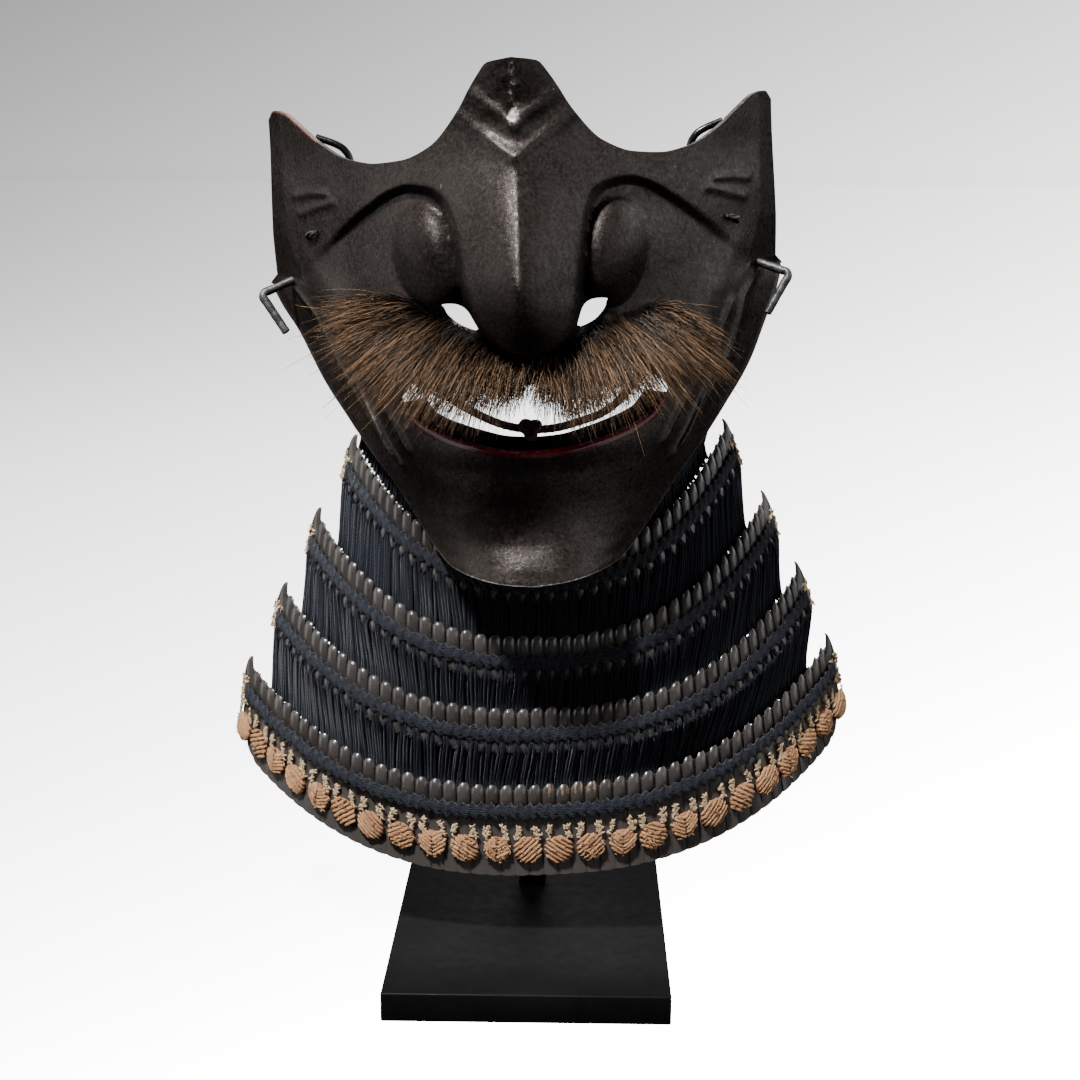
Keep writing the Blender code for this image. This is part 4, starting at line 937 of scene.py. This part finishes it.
# one scale is modelled flat, repeated along the lame and bent round it
def makeScales(number, lame):
    whole = number == len(lames)
    extraRows, rowEase, flatten = (scales[name][whole] for name in ("extraRows", "rowEase", "flatten"))
    top, footFrom = scales["top"], scales["footFrom"]

    def place(u, v):
        a = 2 * u - 1
        below = -top + (lame.height + top) * (1 - v) ** rowEase
        head = np.clip(1 - (below + top) / scales["round"], 0, 1)
        flatness = smoothStep((below - scales["flatFrom"]) / scales["flatOver"])
        width = np.sqrt(1 - (1 - scales["narrow"] ** 2) * head**2)
        dome = scales["dome"] * np.sqrt(np.clip(1 - (0.96 * a) ** 2, 0, 1)) * np.sqrt(1.02 - head**2)
        dome = dome * (1 - flatten * flatness)
        width = width * (1 - (1 - scales["headWidth"]) * (1 - flatness))
        x = (a * width + scales["lean"] * (1 - width)) * lame.pitch / 2
        low = smoothStep((below - footFrom) / (lame.height - footFrom))
        lift = 0 if whole else scales["footLift"] * between(below, *scales["footBand"]) * (1 - np.abs(a)) ** 0.5
        point = -scales["footBow"] * a * a if whole else scales["pointDrop"] * (1 - scales["footSpread"] * np.abs(a))
        below = below + low * point
        return np.column_stack([x, 0.5 - dome + 0.15 * a - lift, -below])

    piece = addSheet(f"scales{number}", scales["columns"], scales["rows"] + extraRows, place)
    each = len(piece.data.vertices)
    useModifier(piece, "ARRAY", count=lame.scales, use_relative_offset=False, use_constant_offset=True,
                constant_offset_displace=(lame.pitch * mm, 0, 0))
    flat = readPoints(piece)
    tab = np.arange(len(flat)) // each
    jitter = rng.normal(0, 1, (lame.scales, 3))
    flat[:, 0] += lame.pitch / 2 - lame.halfLength
    left = np.clip(lame.halfLength - np.abs(flat[:, 0]), 0, None)
    below = -flat[:, 2]

    # heads rise towards the lame's ends, where the last scale is a flared point
    headShare = 1 - smoothStep(below / scales["headOver"])
    middles = lame.pitch * (np.arange(lame.scales) + 0.5) - lame.halfLength
    rise = scales["endRise"] * np.clip(1 - (lame.halfLength - abs(middles)) / scales["endLength"], 0, 1)
    rise[[0, -1]] += scales["tipRise"]
    outer = (tab == 0) | (tab == lame.scales - 1)
    least, over = scales["tipFrom"]
    pointed = scales["tipWiden"] * (least + (1 - least) * smoothStep((below[outer] + top) / over))
    flat[outer, 0] = middles[tab[outer]] + (flat[outer, 0] - middles[tab[outer]]) * pointed
    flat[:, 2] += headShare * (jitter[tab, 0] * scales["headLoose"][0] + rise[tab])
    flat[:, 1] += headShare * jitter[tab, 1] * scales["headLoose"][1]
    reach = lame.pitch * scales["tipWiden"]
    outward = np.clip((np.abs(flat[:, 0]) - lame.halfLength + lame.pitch * 0.9) / reach, 0, 1)
    fadeFrom, fadeOver = scales["tipFade"]
    flat[:, 1] -= outer * scales["tipFlare"] * outward * (1 - smoothStep((below - fadeFrom) / fadeOver))
    rounding, cornerFrom = scales["endRounding"][number - 1], scales["cornerFrom"]
    flat[:, 2] += cornerRise(left, rounding) * smoothStep((below - cornerFrom) / (lame.height - cornerFrom))
    writePoints(piece, flat)

    middleTone, toneSpread = scales["tones"]
    tone = np.repeat(np.clip(middleTone + toneSpread * jitter[:, 2], 0, 1), each)
    worn = np.zeros(len(flat))
    if whole:
        # painted light: the lowest lame's foot is painted paler for the light its flare catches
        start, over, paintedLight = scales["footPaintedLight"]
        tone = tone + smoothStep((below - start) / over) * paintedLight
        (low, high), (height, waves) = scales["wornSpan"], scales["wornWaves"]
        worn = (flat[:, 0] > low) & (flat[:, 0] < high)
        worn = worn * (scales["wornShare"] + height * np.sin(flat[:, 0] * waves))
        start, over = scales["wornFade"]
        worn = worn * (1 - smoothStep((below - start) / over))
    paintPoints(piece, "tone", tone)
    paintPoints(piece, "worn", worn)
    useModifier(piece, "SOLIDIFY", thickness=scales["wall"] * mm, offset=-1)
    lame.wrap(piece)

    def placeBack(u, v):
        x = (2 * u - 1) * lame.halfLength
        foot = lame.height - scales["backShort"] - cornerRise(lame.halfLength - np.abs(x), rounding)
        below = scales["backFrom"] + (foot - scales["backFrom"]) * (1 - v)
        return np.column_stack([x, 0 * x + scales["backOut"], -below])

    back = addSheet("back", lame.scales * 2, scales["backRows"], placeBack)
    useModifier(back, "SOLIDIFY", thickness=scales["backWall"] * mm, offset=-1)
    lame.wrap(back)
    for name in ("tone", "worn"):
        paintPoints(back, name, np.zeros(len(back.data.vertices)))
    piece = joinPieces(f"scales{number}", piece, back)
    finishPiece(piece, scaleLacquer, 50, "brown_lacquer", f"lame_{number}")


for number, lame in enumerate(lames, start=1):
    makeScales(number, lame)

# plaits under the heads of the scales
plait = {
    "drop": 7.5, "period": 9.0, "swing": 0.75, "depth": 0.2, "halfWidth": 2.05, "halfDepth": 0.5, "out": 1.4,
    "around": 12, "short": 3.2, "step": 0.5, "tone": 0.3, "toneStep": 0.2,
    # depth, lump size, seed: the silk's unevenness outwards and upwards
    "unevenOut": [(0.25, 1.5, 0), (0.3, 0.6, 4)], "unevenUp": [(0.4, 3.0, 9), (0.4, 0.9, 2)],
}


def makePlait(number, lame):
    half = lame.halfLength - plait["short"]
    columns = int(half * 2 / plait["step"])
    strands = []
    for k in range(3):
        phase = 2 * math.pi * k / 3

        def place(u, v):
            x = (2 * u - 1) * half
            turn = 2 * math.pi * x / plait["period"] + phase
            below = plait["drop"] - plait["swing"] * np.sin(turn)
            out = plait["out"] + plait["depth"] * np.sin(2 * turn)
            slope = -plait["swing"] * np.cos(turn) * 2 * math.pi / plait["period"]
            length = np.hypot(slope, 1)
            angle = 2 * math.pi * v
            across = plait["halfWidth"] * np.cos(angle)
            return np.column_stack([
                x + slope / length * across,
                -(out + plait["halfDepth"] * np.sin(angle)),
                -(below + across / length)])

        strand = addSheet(f"strand{k}", columns, plait["around"], place)
        closeSheet(strand)
        paintPoints(strand, "tone", np.full(len(strand.data.vertices), plait["tone"] + plait["toneStep"] * k))
        strands.append(strand)
    piece = joinPieces(f"plait{number}", *strands)
    flat = readPoints(piece)
    for column, rows in ((1, plait["unevenOut"]), (2, plait["unevenUp"])):
        flat[:, column] += sum(lumps(flat, 0, depth, size, number + seed) for depth, size, seed in rows)
    writePoints(piece, flat)
    lame.wrap(piece)
    layer = piece.data.uv_layers["UVMap"].data
    uv = np.zeros(len(layer) * 2, np.float32)
    layer.foreach_get("uv", uv)
    uv[0::2] *= half * 2 / plait["period"]
    layer.foreach_set("uv", uv)
    finishPiece(piece, plaitSilk, None, "navy_silk", f"braid_{number}")


for number, lame in enumerate(lames, start=1):
    makePlait(number, lame)

# groups of cords that hang from one lame to the next
lacing = {
    "radius": 0.56, "perGroup": 4, "spacing": 1.03, "gather": 1.02, "archTop": 9.7, "archDrop": 0.95, "points": 10,
    "out": 1.15, "bulge": 0.12, "tuck": 3.2, "behind": 3.4, "wobble": 0.3, "end": 0.965,
    # how a cord comes out from under the plait: how far below the arch's top, gathered in and out of the face
    "archBelow": (-0.5, 0.1, 1.2), "archIn": (1, 0.4, 0, 0), "archGather": 0.25, "archOut": (0.55, 0.9),
    "footBelow": 0.8, "footIn": 0.2, "swayTurns": (3, 7),
    "groupShift": 0.2, "groupLean": 0.35, "cordShift": 0.05, "cordDrop": 0.08,  # how much they stray
    "jawCords": 122, "jawReach": 60, "jawOver": 4, "jawIn": 3.3, "jawPoints": 7, "jawStray": 0.1,
    "liningColumns": 120, "liningRows": 9, "liningWall": 0.3, "liningBack": 0.8, "jawLiningBack": 0.7,
}


# rows of points between a few lines of points
def betweenStops(stops, share):
    at = np.clip(share, 0, 1) * (len(stops) - 1)
    return sum(stop * np.clip(1 - abs(at - k), 0, 1)[:, None] for k, stop in enumerate(stops))


def addLining(place):
    lining = addSheet("lining", lacing["liningColumns"], lacing["liningRows"], place)
    useModifier(lining, "SOLIDIFY", thickness=lacing["liningWall"] * mm, offset=-1)
    paintPoints(lining, "tone", np.zeros(len(lining.data.vertices)))
    lining.data.materials.append(liningCloth)
    return lining


def makeLacing(number, upper, lower):
    lines = []
    for boundary in range(upper.scales + 1):
        middle = -1 + 2 * boundary / upper.scales
        shift, lean = rng.normal(0, lacing["groupShift"]), rng.normal(0, lacing["groupLean"])
        for k in range(lacing["perGroup"]):
            place = k - (lacing["perGroup"] - 1) / 2
            x = middle * upper.halfLength + place * lacing["spacing"] + shift + rng.normal(0, lacing["cordShift"])
            along = np.clip(x / upper.halfLength, -lacing["end"], lacing["end"])
            top = lacing["archTop"] + lacing["archDrop"] * place * place + rng.normal(0, lacing["cordDrop"])
            inward = -place * lacing["archGather"] / upper.halfLength
            below = [top + more for more in lacing["archBelow"]] + [upper.height + lacing["footBelow"]]
            out = np.array([*lacing["archOut"], lacing["out"], lacing["out"] - lacing["footIn"]])
            start = upper.at(along + inward * np.array(lacing["archIn"]), np.array(below),
                             out - lacing["bulge"] * place * place)
            alongLow = (along * upper.halfLength * lacing["gather"] + lean) / lower.halfLength
            end = lower.at(np.full(2, alongLow), np.array([-0.5, lacing["tuck"]]), np.full(2, -lacing["behind"]))
            line = roundedLine(np.vstack([start, end]), lacing["points"])
            turn = np.linspace(0, rng.uniform(*lacing["swayTurns"]), lacing["points"]) + rng.uniform(0, 6)
            line[:, 0] += lacing["wobble"] * np.sin(turn) * np.sin(np.linspace(0, math.pi, lacing["points"]))
            lines.append(line)
    piece = addCords(f"lacing{number}", lines, lacing["radius"], 6, tones=rng.uniform(0, 1, len(lines)))
    piece.data.materials.append(navySilk)

    def place(u, v):
        along = (2 * u - 1) * lacing["end"]
        ones, behind = np.ones_like(along), -lacing["behind"] - lacing["liningBack"]
        alongLow = along * upper.halfLength * lacing["gather"] / lower.halfLength
        stops = [
            upper.at(along, 8.5 * ones, -0.25 * ones), upper.at(along, (upper.height + 0.6) * ones, -0.15 * ones),
            lower.at(alongLow, -0.5 * ones, behind * ones),
            lower.at(alongLow, lacing["tuck"] * ones, behind * ones)]
        return hung(betweenStops(stops, 1 - v))

    piece = joinPieces(f"lacing{number}", piece, addLining(place))
    finishPiece(piece, None, 60, "navy_silk", f"lacing_{number}")


# from inside the mask's jaw down behind the first lame
def makeJawLacing():
    lame = lames[0]

    def stopsOf(x, back):
        along, ones = lame.alongOf(x), np.ones_like(x)
        low = lame.at(along, lacing["tuck"] * ones, (-lacing["behind"] - back) * ones)
        head = lame.at(along, -2.0 * ones, (-lacing["behind"] - back) * ones)
        edge = smoothCurve(mask["jawEdge"], abs(x))
        over = edge + lacing["jawOver"]
        inside = np.maximum(maskFace(x, edge), maskFace(x, over)) + mask["wall"] * 2.6 + lacing["jawIn"] + back
        top = np.column_stack([x + sway(edge), np.maximum(inside, head[:, 1]), over])
        return [top, (top + head) / 2, head, low]

    reach = lacing["jawReach"]
    stops = stopsOf(np.linspace(-reach, reach, lacing["jawCords"]), 0.0)
    lines = [roundedLine(np.vstack([stop[k] for stop in stops]), lacing["jawPoints"])
             + rng.normal(0, lacing["jawStray"], (1, 3)) for k in range(lacing["jawCords"])]
    piece = addCords("lacing0", lines, lacing["radius"], 6, tones=rng.uniform(0, 1, len(lines)))
    piece.data.materials.append(navySilk)
    lining = addLining(lambda u, v: hung(betweenStops(
        stopsOf((reach + 0.5) * (2 * u - 1), lacing["jawLiningBack"]), 1 - v)))
    piece = joinPieces("lacing0", piece, lining)
    finishPiece(piece, None, 60, "navy_silk", "lacing_0")


makeJawLacing()
for number in (1, 2, 3):
    makeLacing(number, lames[number - 1], lames[number])

# knots along the lowest lame
knots = {
    "count": 24, "pitch": 9.8, "drop": 19.6, "radius": 4.35, "rise": 1.7, "ribs": 7, "ribRadius": 0.52, "crumbs": 40,
    "slants": (-38, 35, 0, -30, 0, 40),  # degrees, 0 is a knot whose ribs meet in a V
    "turns": 4,  # degrees
    "sizes": (0.96, 1.04), "stray": 0.12, "widen": 1.05, "uneven": 0.09, "unevenWays": (0.5, 0.8, 1),
    "ribWidths": (0.85, 1.1), "ribTaper": ((0, 0.12, 0.88, 1), (0.6, 1, 1, 0.6)), "tones": (0.4, 1.6),
    "crumbShares": (0.15, 0.3, 1.0), "crumbReach": 0.5, "crumbRadii": (0.16, 0.32, 0.16),
    "core": (0.94, 0.6, 0.9), "coreSink": 0.15,  # shares of the radius, rise and radius
}


# the cord's turns across one knot, flat and facing -Y
def knotRibs(slant):
    lines = []
    radius = knots["radius"] - 0.35

    def addRib(start, end):
        share = np.linspace(0, 1, 9)[:, None]
        line = np.array(start) + (np.array(end) - np.array(start)) * share
        away = np.clip(np.hypot(line[:, 0], line[:, 1]) / (radius + 0.5), 0, 1)
        height = 0.25 + knots["rise"] * (1 - away**2.6) ** 0.6 * 0.8
        lines.append(np.column_stack([line[:, 0], -height, line[:, 1]]))

    if slant:
        turn = math.radians(slant)
        for k in range(knots["ribs"]):
            offset = (k - (knots["ribs"] - 1) / 2) * 2 * radius / knots["ribs"]
            half = math.sqrt(max(radius**2 - offset**2, 0.3)) + 0.15
            along, across = np.array([math.cos(turn), math.sin(turn)]), np.array([-math.sin(turn), math.cos(turn)])
            addRib(along * -half + across * offset, along * half + across * offset)
    else:
        for k in range(-2, knots["ribs"] - 1):
            level = -radius + (k + 0.5) * 2 * radius / knots["ribs"]
            for sign in (-1, 1):
                reach = math.sqrt(max(radius**2 - max(abs(level + 1.2), 0) ** 2, 0.3))
                start, end = (sign * 0.1, level), (sign * reach, level + reach * 0.75)
                if math.hypot(*start) > radius or math.hypot(*end) > radius + 0.6:
                    end = (end[0] * 0.8, start[1] + (end[1] - start[1]) * 0.8)
                if abs(start[1]) < radius:
                    addRib(start, end)
    return lines


def knotAt(number):
    return (number - (knots["count"] - 1) / 2) * knots["pitch"]


def makeKnots(lame):
    pieces = []
    for number in range(knots["count"]):
        slant = knots["slants"][number % len(knots["slants"])]
        lines = knotRibs(slant)
        turn = math.radians(rng.normal(0, knots["turns"]))
        size = rng.uniform(*knots["sizes"])
        x = knotAt(number) + rng.normal(0, knots["stray"])
        placed = []
        for line in lines:
            acrossX = line[:, 0] * math.cos(turn) - line[:, 2] * math.sin(turn)
            acrossZ = line[:, 0] * math.sin(turn) + line[:, 2] * math.cos(turn)
            placed.append(np.column_stack([
                acrossX * size * knots["widen"] + x, line[:, 1], acrossZ * size - knots["drop"]]))
        placed = [line + knots["uneven"] * rng.normal(0, 1, (len(line), 3)) * knots["unevenWays"] for line in placed]
        radii = [knots["ribRadius"] * rng.uniform(*knots["ribWidths"])
                 * np.interp(np.linspace(0, 1, len(line)), *knots["ribTaper"]) for line in placed]
        # crumbs of worn silk over some of the knots
        for _ in range(int(knots["crumbs"] * rng.choice(knots["crumbShares"]))):
            turned, reach = rng.uniform(0, 2 * math.pi), knots["radius"] * math.sqrt(rng.uniform(0, 0.9))
            tip = rng.normal(0, knots["crumbReach"], 3)
            out = knots["rise"] * (1.1 - 0.55 * (reach / knots["radius"]) ** 2)
            middle = np.array([x + reach * math.cos(turned), -out, reach * math.sin(turned) - knots["drop"]])
            placed.append(np.linspace(middle - tip, middle + tip, 3))
            radii.append(np.array(knots["crumbRadii"]))
        ribs = addCords("ribs", placed, radii, 8, hangThem=False, tones=rng.uniform(*knots["tones"], len(placed)))
        bpy.ops.mesh.primitive_uv_sphere_add(segments=24, ring_count=10, radius=1)
        core = rename(bpy.context.object, "core")
        flat = readPoints(core) * mm
        wide, deep, high = knots["core"]
        flat *= np.array([knots["radius"] * wide, knots["rise"] * deep, knots["radius"] * high])
        writePoints(core, flat + np.array([x, -knots["coreSink"], -knots["drop"]]))
        paintPoints(core, "tone", np.zeros(len(core.data.vertices)))
        pieces += [ribs, core]
    piece = joinPieces("knotRow", *pieces)
    lame.wrap(piece)
    finishPiece(piece, orangeSilk, None, "orange_silk",
                *[f"knot_{number:02d}" for number in range(1, knots["count"] + 1)])


makeKnots(lames[3])

# gold ears over each knot, and the worn lacing of the lames' end edges
goldWork = {
    "earX": 2.9, "earBelow": 14.0, "earLean": 0.22, "earStray": 0.42, "earHeights": (-2.4, 1.8), "earOut": (0.55, 0.5),
    "turns": (-1.5, 1.5),  # radians
    "threads": 28, "left": (0.6, 1.0), "halfLengths": (0.3, 0.85), "radius": 0.26,
    "edgeThreads": 90, "edgeRadius": 0.32, "edgeBelow": (3.2, 12.0), "edgeIn": (-0.4, 3.2), "edgeOut": (0.2, 1.2),
    "edgeReach": (0.6, 0.3, 0.7),
}


def makeGoldThreads():
    pieces = []
    lame = lames[3]
    lines = []
    for number in range(knots["count"]):
        for sign in (-1, 1):
            left = rng.uniform(*goldWork["left"])  # share of the ear's threads that are left
            for _ in range(goldWork["threads"]):
                if rng.uniform() > left:
                    continue
                turn, half, height = (rng.uniform(*goldWork[name]) for name in ("turns", "halfLengths", "earHeights"))
                x = knotAt(number) + sign * (goldWork["earX"] - goldWork["earLean"] * height)
                x += rng.normal(0, goldWork["earStray"])
                share = np.linspace(-1, 1, 4)
                out, arch = goldWork["earOut"]
                lines.append(np.column_stack([
                    x + share * half * math.cos(turn), -out - arch * (1 - share**2),
                    height - goldWork["earBelow"] + share * half * math.sin(turn)]))
    piece = addCords("knotEars", lines, goldWork["radius"], 4, hangThem=False)
    lame.wrap(piece)
    pieces.append(piece)
    for number, lame in enumerate(lames, start=1):
        lines = []
        for sign in (-1, 1):
            for _ in range(goldWork["edgeThreads"]):
                below, inward, out = (rng.uniform(*goldWork[name]) for name in ("edgeBelow", "edgeIn", "edgeOut"))
                middle = np.array([sign * (lame.halfLength - inward), -out, -below])
                reach = rng.normal(0, 1, 3) * goldWork["edgeReach"]
                lines.append(np.linspace(middle - reach, middle + reach, 4))
        piece = addCords(f"edge{number}", lines, goldWork["edgeRadius"], 4, hangThem=False)
        lame.wrap(piece)
        pieces.append(piece)
    piece = joinPieces("goldThreads", *pieces)
    finishPiece(piece, goldThread, None, "orange_silk")


makeGoldThreads()

tyingCord = {
    "radius": 1.3, "columns": 900, "around": 14, "plaits": 150, "thinnest": 0.9, "relief": 0.12,
    "knotAt": (1.2, -37.2, 171.8), "knotSize": 0.95, "knotRadius": 1.0,
    "route": [
        (-79.0, 66.0, 262.5), (-72.0, 56.0, 255.5), (-64.0, 45.0, 244.0), (-58.0, 34.0, 226.0), (-47.0, 16.0, 203.0),
        (-31.0, -8.0, 184.5), (-14.0, -27.0, 175.0), (0.0, -34.5, 171.4), (14.0, -32.0, 172.2), (29.0, -19.0, 177.5),
        (46.0, 10.0, 197.0), (58.0, 32.0, 219.0), (66.0, 46.0, 240.0), (73.0, 57.0, 256.0), (79.0, 66.0, 262.5)],
}


def makeTyingCord():
    path = hung(roundedLine(tyingCord["route"], 160))
    tangents = np.gradient(path, axis=0)
    tangents /= np.linalg.norm(tangents, axis=1)[:, None]
    sideways = np.cross(tangents, np.array([0.0, 0.0, 1.0]))
    sideways /= np.linalg.norm(sideways, axis=1)[:, None]
    upward = np.cross(sideways, tangents)

    def place(u, v):
        at = u * (len(path) - 1)
        center, side, up = (np.column_stack([np.interp(at, range(len(path)), lines[:, k]) for k in range(3)])
                            for lines in (path, sideways, upward))
        angle = -2 * math.pi * v
        slant = u * tyingCord["plaits"] * 2
        relief = np.abs(np.sin(angle * 2 + slant)) * np.abs(np.sin(angle * 2 - slant))
        radius = tyingCord["radius"] * (tyingCord["thinnest"] + tyingCord["relief"] * relief)
        return center + side * (np.cos(angle) * radius)[:, None] + up * (np.sin(angle) * radius)[:, None]

    piece = addSheet("tyingCord", tyingCord["columns"], tyingCord["around"], place)
    closeSheet(piece)
    paintPoints(piece, "tone", np.full(len(piece.data.vertices), 0.4))
    finishPiece(piece, purpleSilk, None, "purple_silk", "tying_cord")

    # a small overhand knot
    t = np.linspace(0, 2 * math.pi, 70)[:, None]
    turns = np.hstack([np.sin(t) + 2 * np.sin(2 * t), 1.2 * np.sin(3 * t), np.cos(t) - 2 * np.cos(2 * t)])
    turns = np.array(tyingCord["knotAt"]) + tyingCord["knotSize"] * turns
    knot = addCords("tyingKnot", [turns], tyingCord["knotRadius"], 8, tones=np.array([1.0]))
    finishPiece(knot, purpleSilk, None, "purple_silk")


makeTyingCord()

stand = {
    "plate": (86.0, 150.0, 9.0), "bevel": 0.5, "post": 9.0, "postY": 12.0, "postTop": 112.0, "postSunk": 2,
    "hub": (16.0, 9.0, 7.0), "hubZ": 116.4, "hubBevel": 0.6, "armRadius": 1.2,
    "arm": [
        (0.0, 12.0, 116.4), (20.0, 15.0, 117.4), (38.0, 24.0, 128.4), (49.0, 34.0, 158.0), (53.0, 41.0, 196.0),
        (55.6, 45.0, 238.0), (56.4, 46.0, 251.0), (58.0, 46.0, 255.2), (61.2, 46.0, 257.6), (67.5, 46.5, 260.0)],
}


def addBlock(name, middle, size, bevel):
    bpy.ops.object.select_all(action="DESELECT")
    bpy.ops.mesh.primitive_cube_add(size=1, location=[value * mm for value in middle],
                                    scale=[value * mm for value in size])
    block = rename(bpy.context.object, name)
    bpy.ops.object.transform_apply(location=True, rotation=True, scale=True)
    editMesh(block, (bpy.ops.mesh.bevel, {"offset": bevel * mm, "segments": 3, "profile": 0.5}))
    return block


def makeStand():
    width, length, height = stand["plate"]
    plate = addBlock("plate", (0, 0, height / 2), (width, length, height), stand["bevel"])
    foot = height - stand["postSunk"]
    post = addBlock("post", (0, stand["postY"], (foot + stand["postTop"]) / 2),
                    (stand["post"], stand["post"], stand["postTop"] - foot), stand["bevel"])
    piece = joinPieces("standBase", plate, post)
    finishPiece(piece, blackPaint, 40, "black_paint", "stand_base")

    hub = addBlock("hub", (0, stand["postY"], stand["hubZ"]), stand["hub"], stand["hubBevel"])
    writePoints(hub, hung(readPoints(hub)))
    right = roundedLine(stand["arm"], 90)
    arms = addCords("arms", [right, right * np.array([-1, 1, 1])], stand["armRadius"], 12)
    piece = joinPieces("standArms", hub, arms)
    finishPiece(piece, darkSteel, 40, "dark_steel", "stand_arms")


makeStand()

studio = {
    "aim": (0, 0, 0.17), "floorSide": 60.0,  # metres
    # degrees to the right of the front, degrees up, metres away and across, watts
    "lights": {
        "keyLight": {"turn": -40, "up": 60, "away": 1.3, "size": 0.16, "watts": 30},
        "leftSoft": {"turn": -80, "up": 12, "away": 1.5, "size": 1.2, "watts": 5.0},
        "rightSoft": {"turn": 80, "up": 15, "away": 1.5, "size": 1.2, "watts": 3.6},
        "rightNear": {"turn": 50, "up": 15, "away": 1.5, "size": 0.8, "watts": 1.7},
        "frontFill": {"turn": 5, "up": 10, "away": 1.8, "size": 1.6, "watts": 0.9},
        "leftRim": {"turn": -115, "up": 25, "away": 1.5, "size": 1.0, "watts": 1.8},
        "rightRim": {"turn": 115, "up": 25, "away": 1.5, "size": 1.0, "watts": 4.0},
        "backSoft": {"turn": 180, "up": 40, "away": 1.5, "size": 0.8, "watts": 3.5},
    },
    # natural logarithms of the glow at the horizon, and what is added near the front, to the right and up the sky
    "horizon": 0.36, "nearness": 1.26, "rightward": 2.26, "upward": -5.0, "glowLimits": (-1.0, 3.1),
    "frontAt": -0.566, "nearest": 0.4, "sideLimit": 0.35, "upLimit": 0.2,
}


def addLamp(name, settings):
    turn, up = math.radians(settings["turn"]), math.radians(settings["up"])
    aim = Vector(studio["aim"])
    away = Vector((math.sin(turn) * math.cos(up), -math.cos(turn) * math.cos(up), math.sin(up))) * settings["away"]
    bpy.ops.object.light_add(type="AREA", location=aim + away)
    lamp = bpy.context.object
    lamp.name = name
    lamp.rotation_euler = (-away).to_track_quat("-Z", "Y").to_euler()
    lamp.data.shape = "DISK"
    lamp.data.size = settings["size"]
    lamp.data.energy = settings["watts"]


def clamped(owner, value, low, high):
    return mathNode(owner, "MINIMUM", mathNode(owner, "MAXIMUM", value, low), high)


# the strength whose logarithm is the sum of the horizon's and the parts
def glowOf(owner, sideways, nearOrUp):
    total = mathNode(owner, "ADD", nearOrUp, studio["horizon"])
    total = mathNode(owner, "ADD", mathNode(owner, "MULTIPLY", sideways, studio["rightward"]), total)
    return mathNode(owner, "EXPONENT", clamped(owner, total, *studio["glowLimits"]), 0.0)


# a pale floor that glows softly, brightest at the front right
def makeFloor():
    bpy.ops.object.select_all(action="DESELECT")
    bpy.ops.mesh.primitive_plane_add(size=studio["floorSide"])
    floor = rename(bpy.context.object, "paleFloor")
    pale = newMaterial("paleFloor", (0.8, 0.8, 0.8), 0.0, 0.9)
    place = addNode(pale, "ShaderNodeSeparateXYZ", {"Vector": objectPlace(pale)}).node.outputs
    depth = mathNode(pale, "SUBTRACT", place["Y"], studio["frontAt"])
    depth = mathNode(pale, "MAXIMUM", depth, studio["nearest"])
    sideways = clamped(pale, mathNode(pale, "DIVIDE", place["X"], depth), -studio["sideLimit"], studio["sideLimit"])
    near = mathNode(pale, "DIVIDE", studio["nearness"], depth)
    setShader(pale, {"Emission Strength": glowOf(pale, sideways, near), "Emission Color": (1, 1, 1)})
    floor.data.materials.append(pale)
    floor.visible_diffuse = False
    floor.visible_glossy = False


# the wall behind, which darkens upward and to the left
def makeSky():
    world = bpy.data.worlds.new("softSky")
    world.use_nodes = True
    place = addNode(world, "ShaderNodeTexCoord", output="Generated")
    place = addNode(world, "ShaderNodeSeparateXYZ", {"Vector": place}).node.outputs
    sideways = clamped(world, place["X"], -studio["sideLimit"], studio["sideLimit"])
    up = mathNode(world, "MULTIPLY", clamped(world, place["Z"], 0.0, studio["upLimit"]), studio["upward"])
    background = world.node_tree.nodes["Background"]
    feed(world, background.inputs["Color"], (1, 1, 1))
    feed(world, background.inputs["Strength"], glowOf(world, sideways, up))
    world.cycles_visibility.diffuse = False
    world.cycles_visibility.glossy = False
    bpy.context.scene.world = world


makeFloor()
makeSky()
for name, settings in studio["lights"].items():
    addLamp(name, settings)
print(f"floor, sky and {len(studio['lights'])} lights are in place")
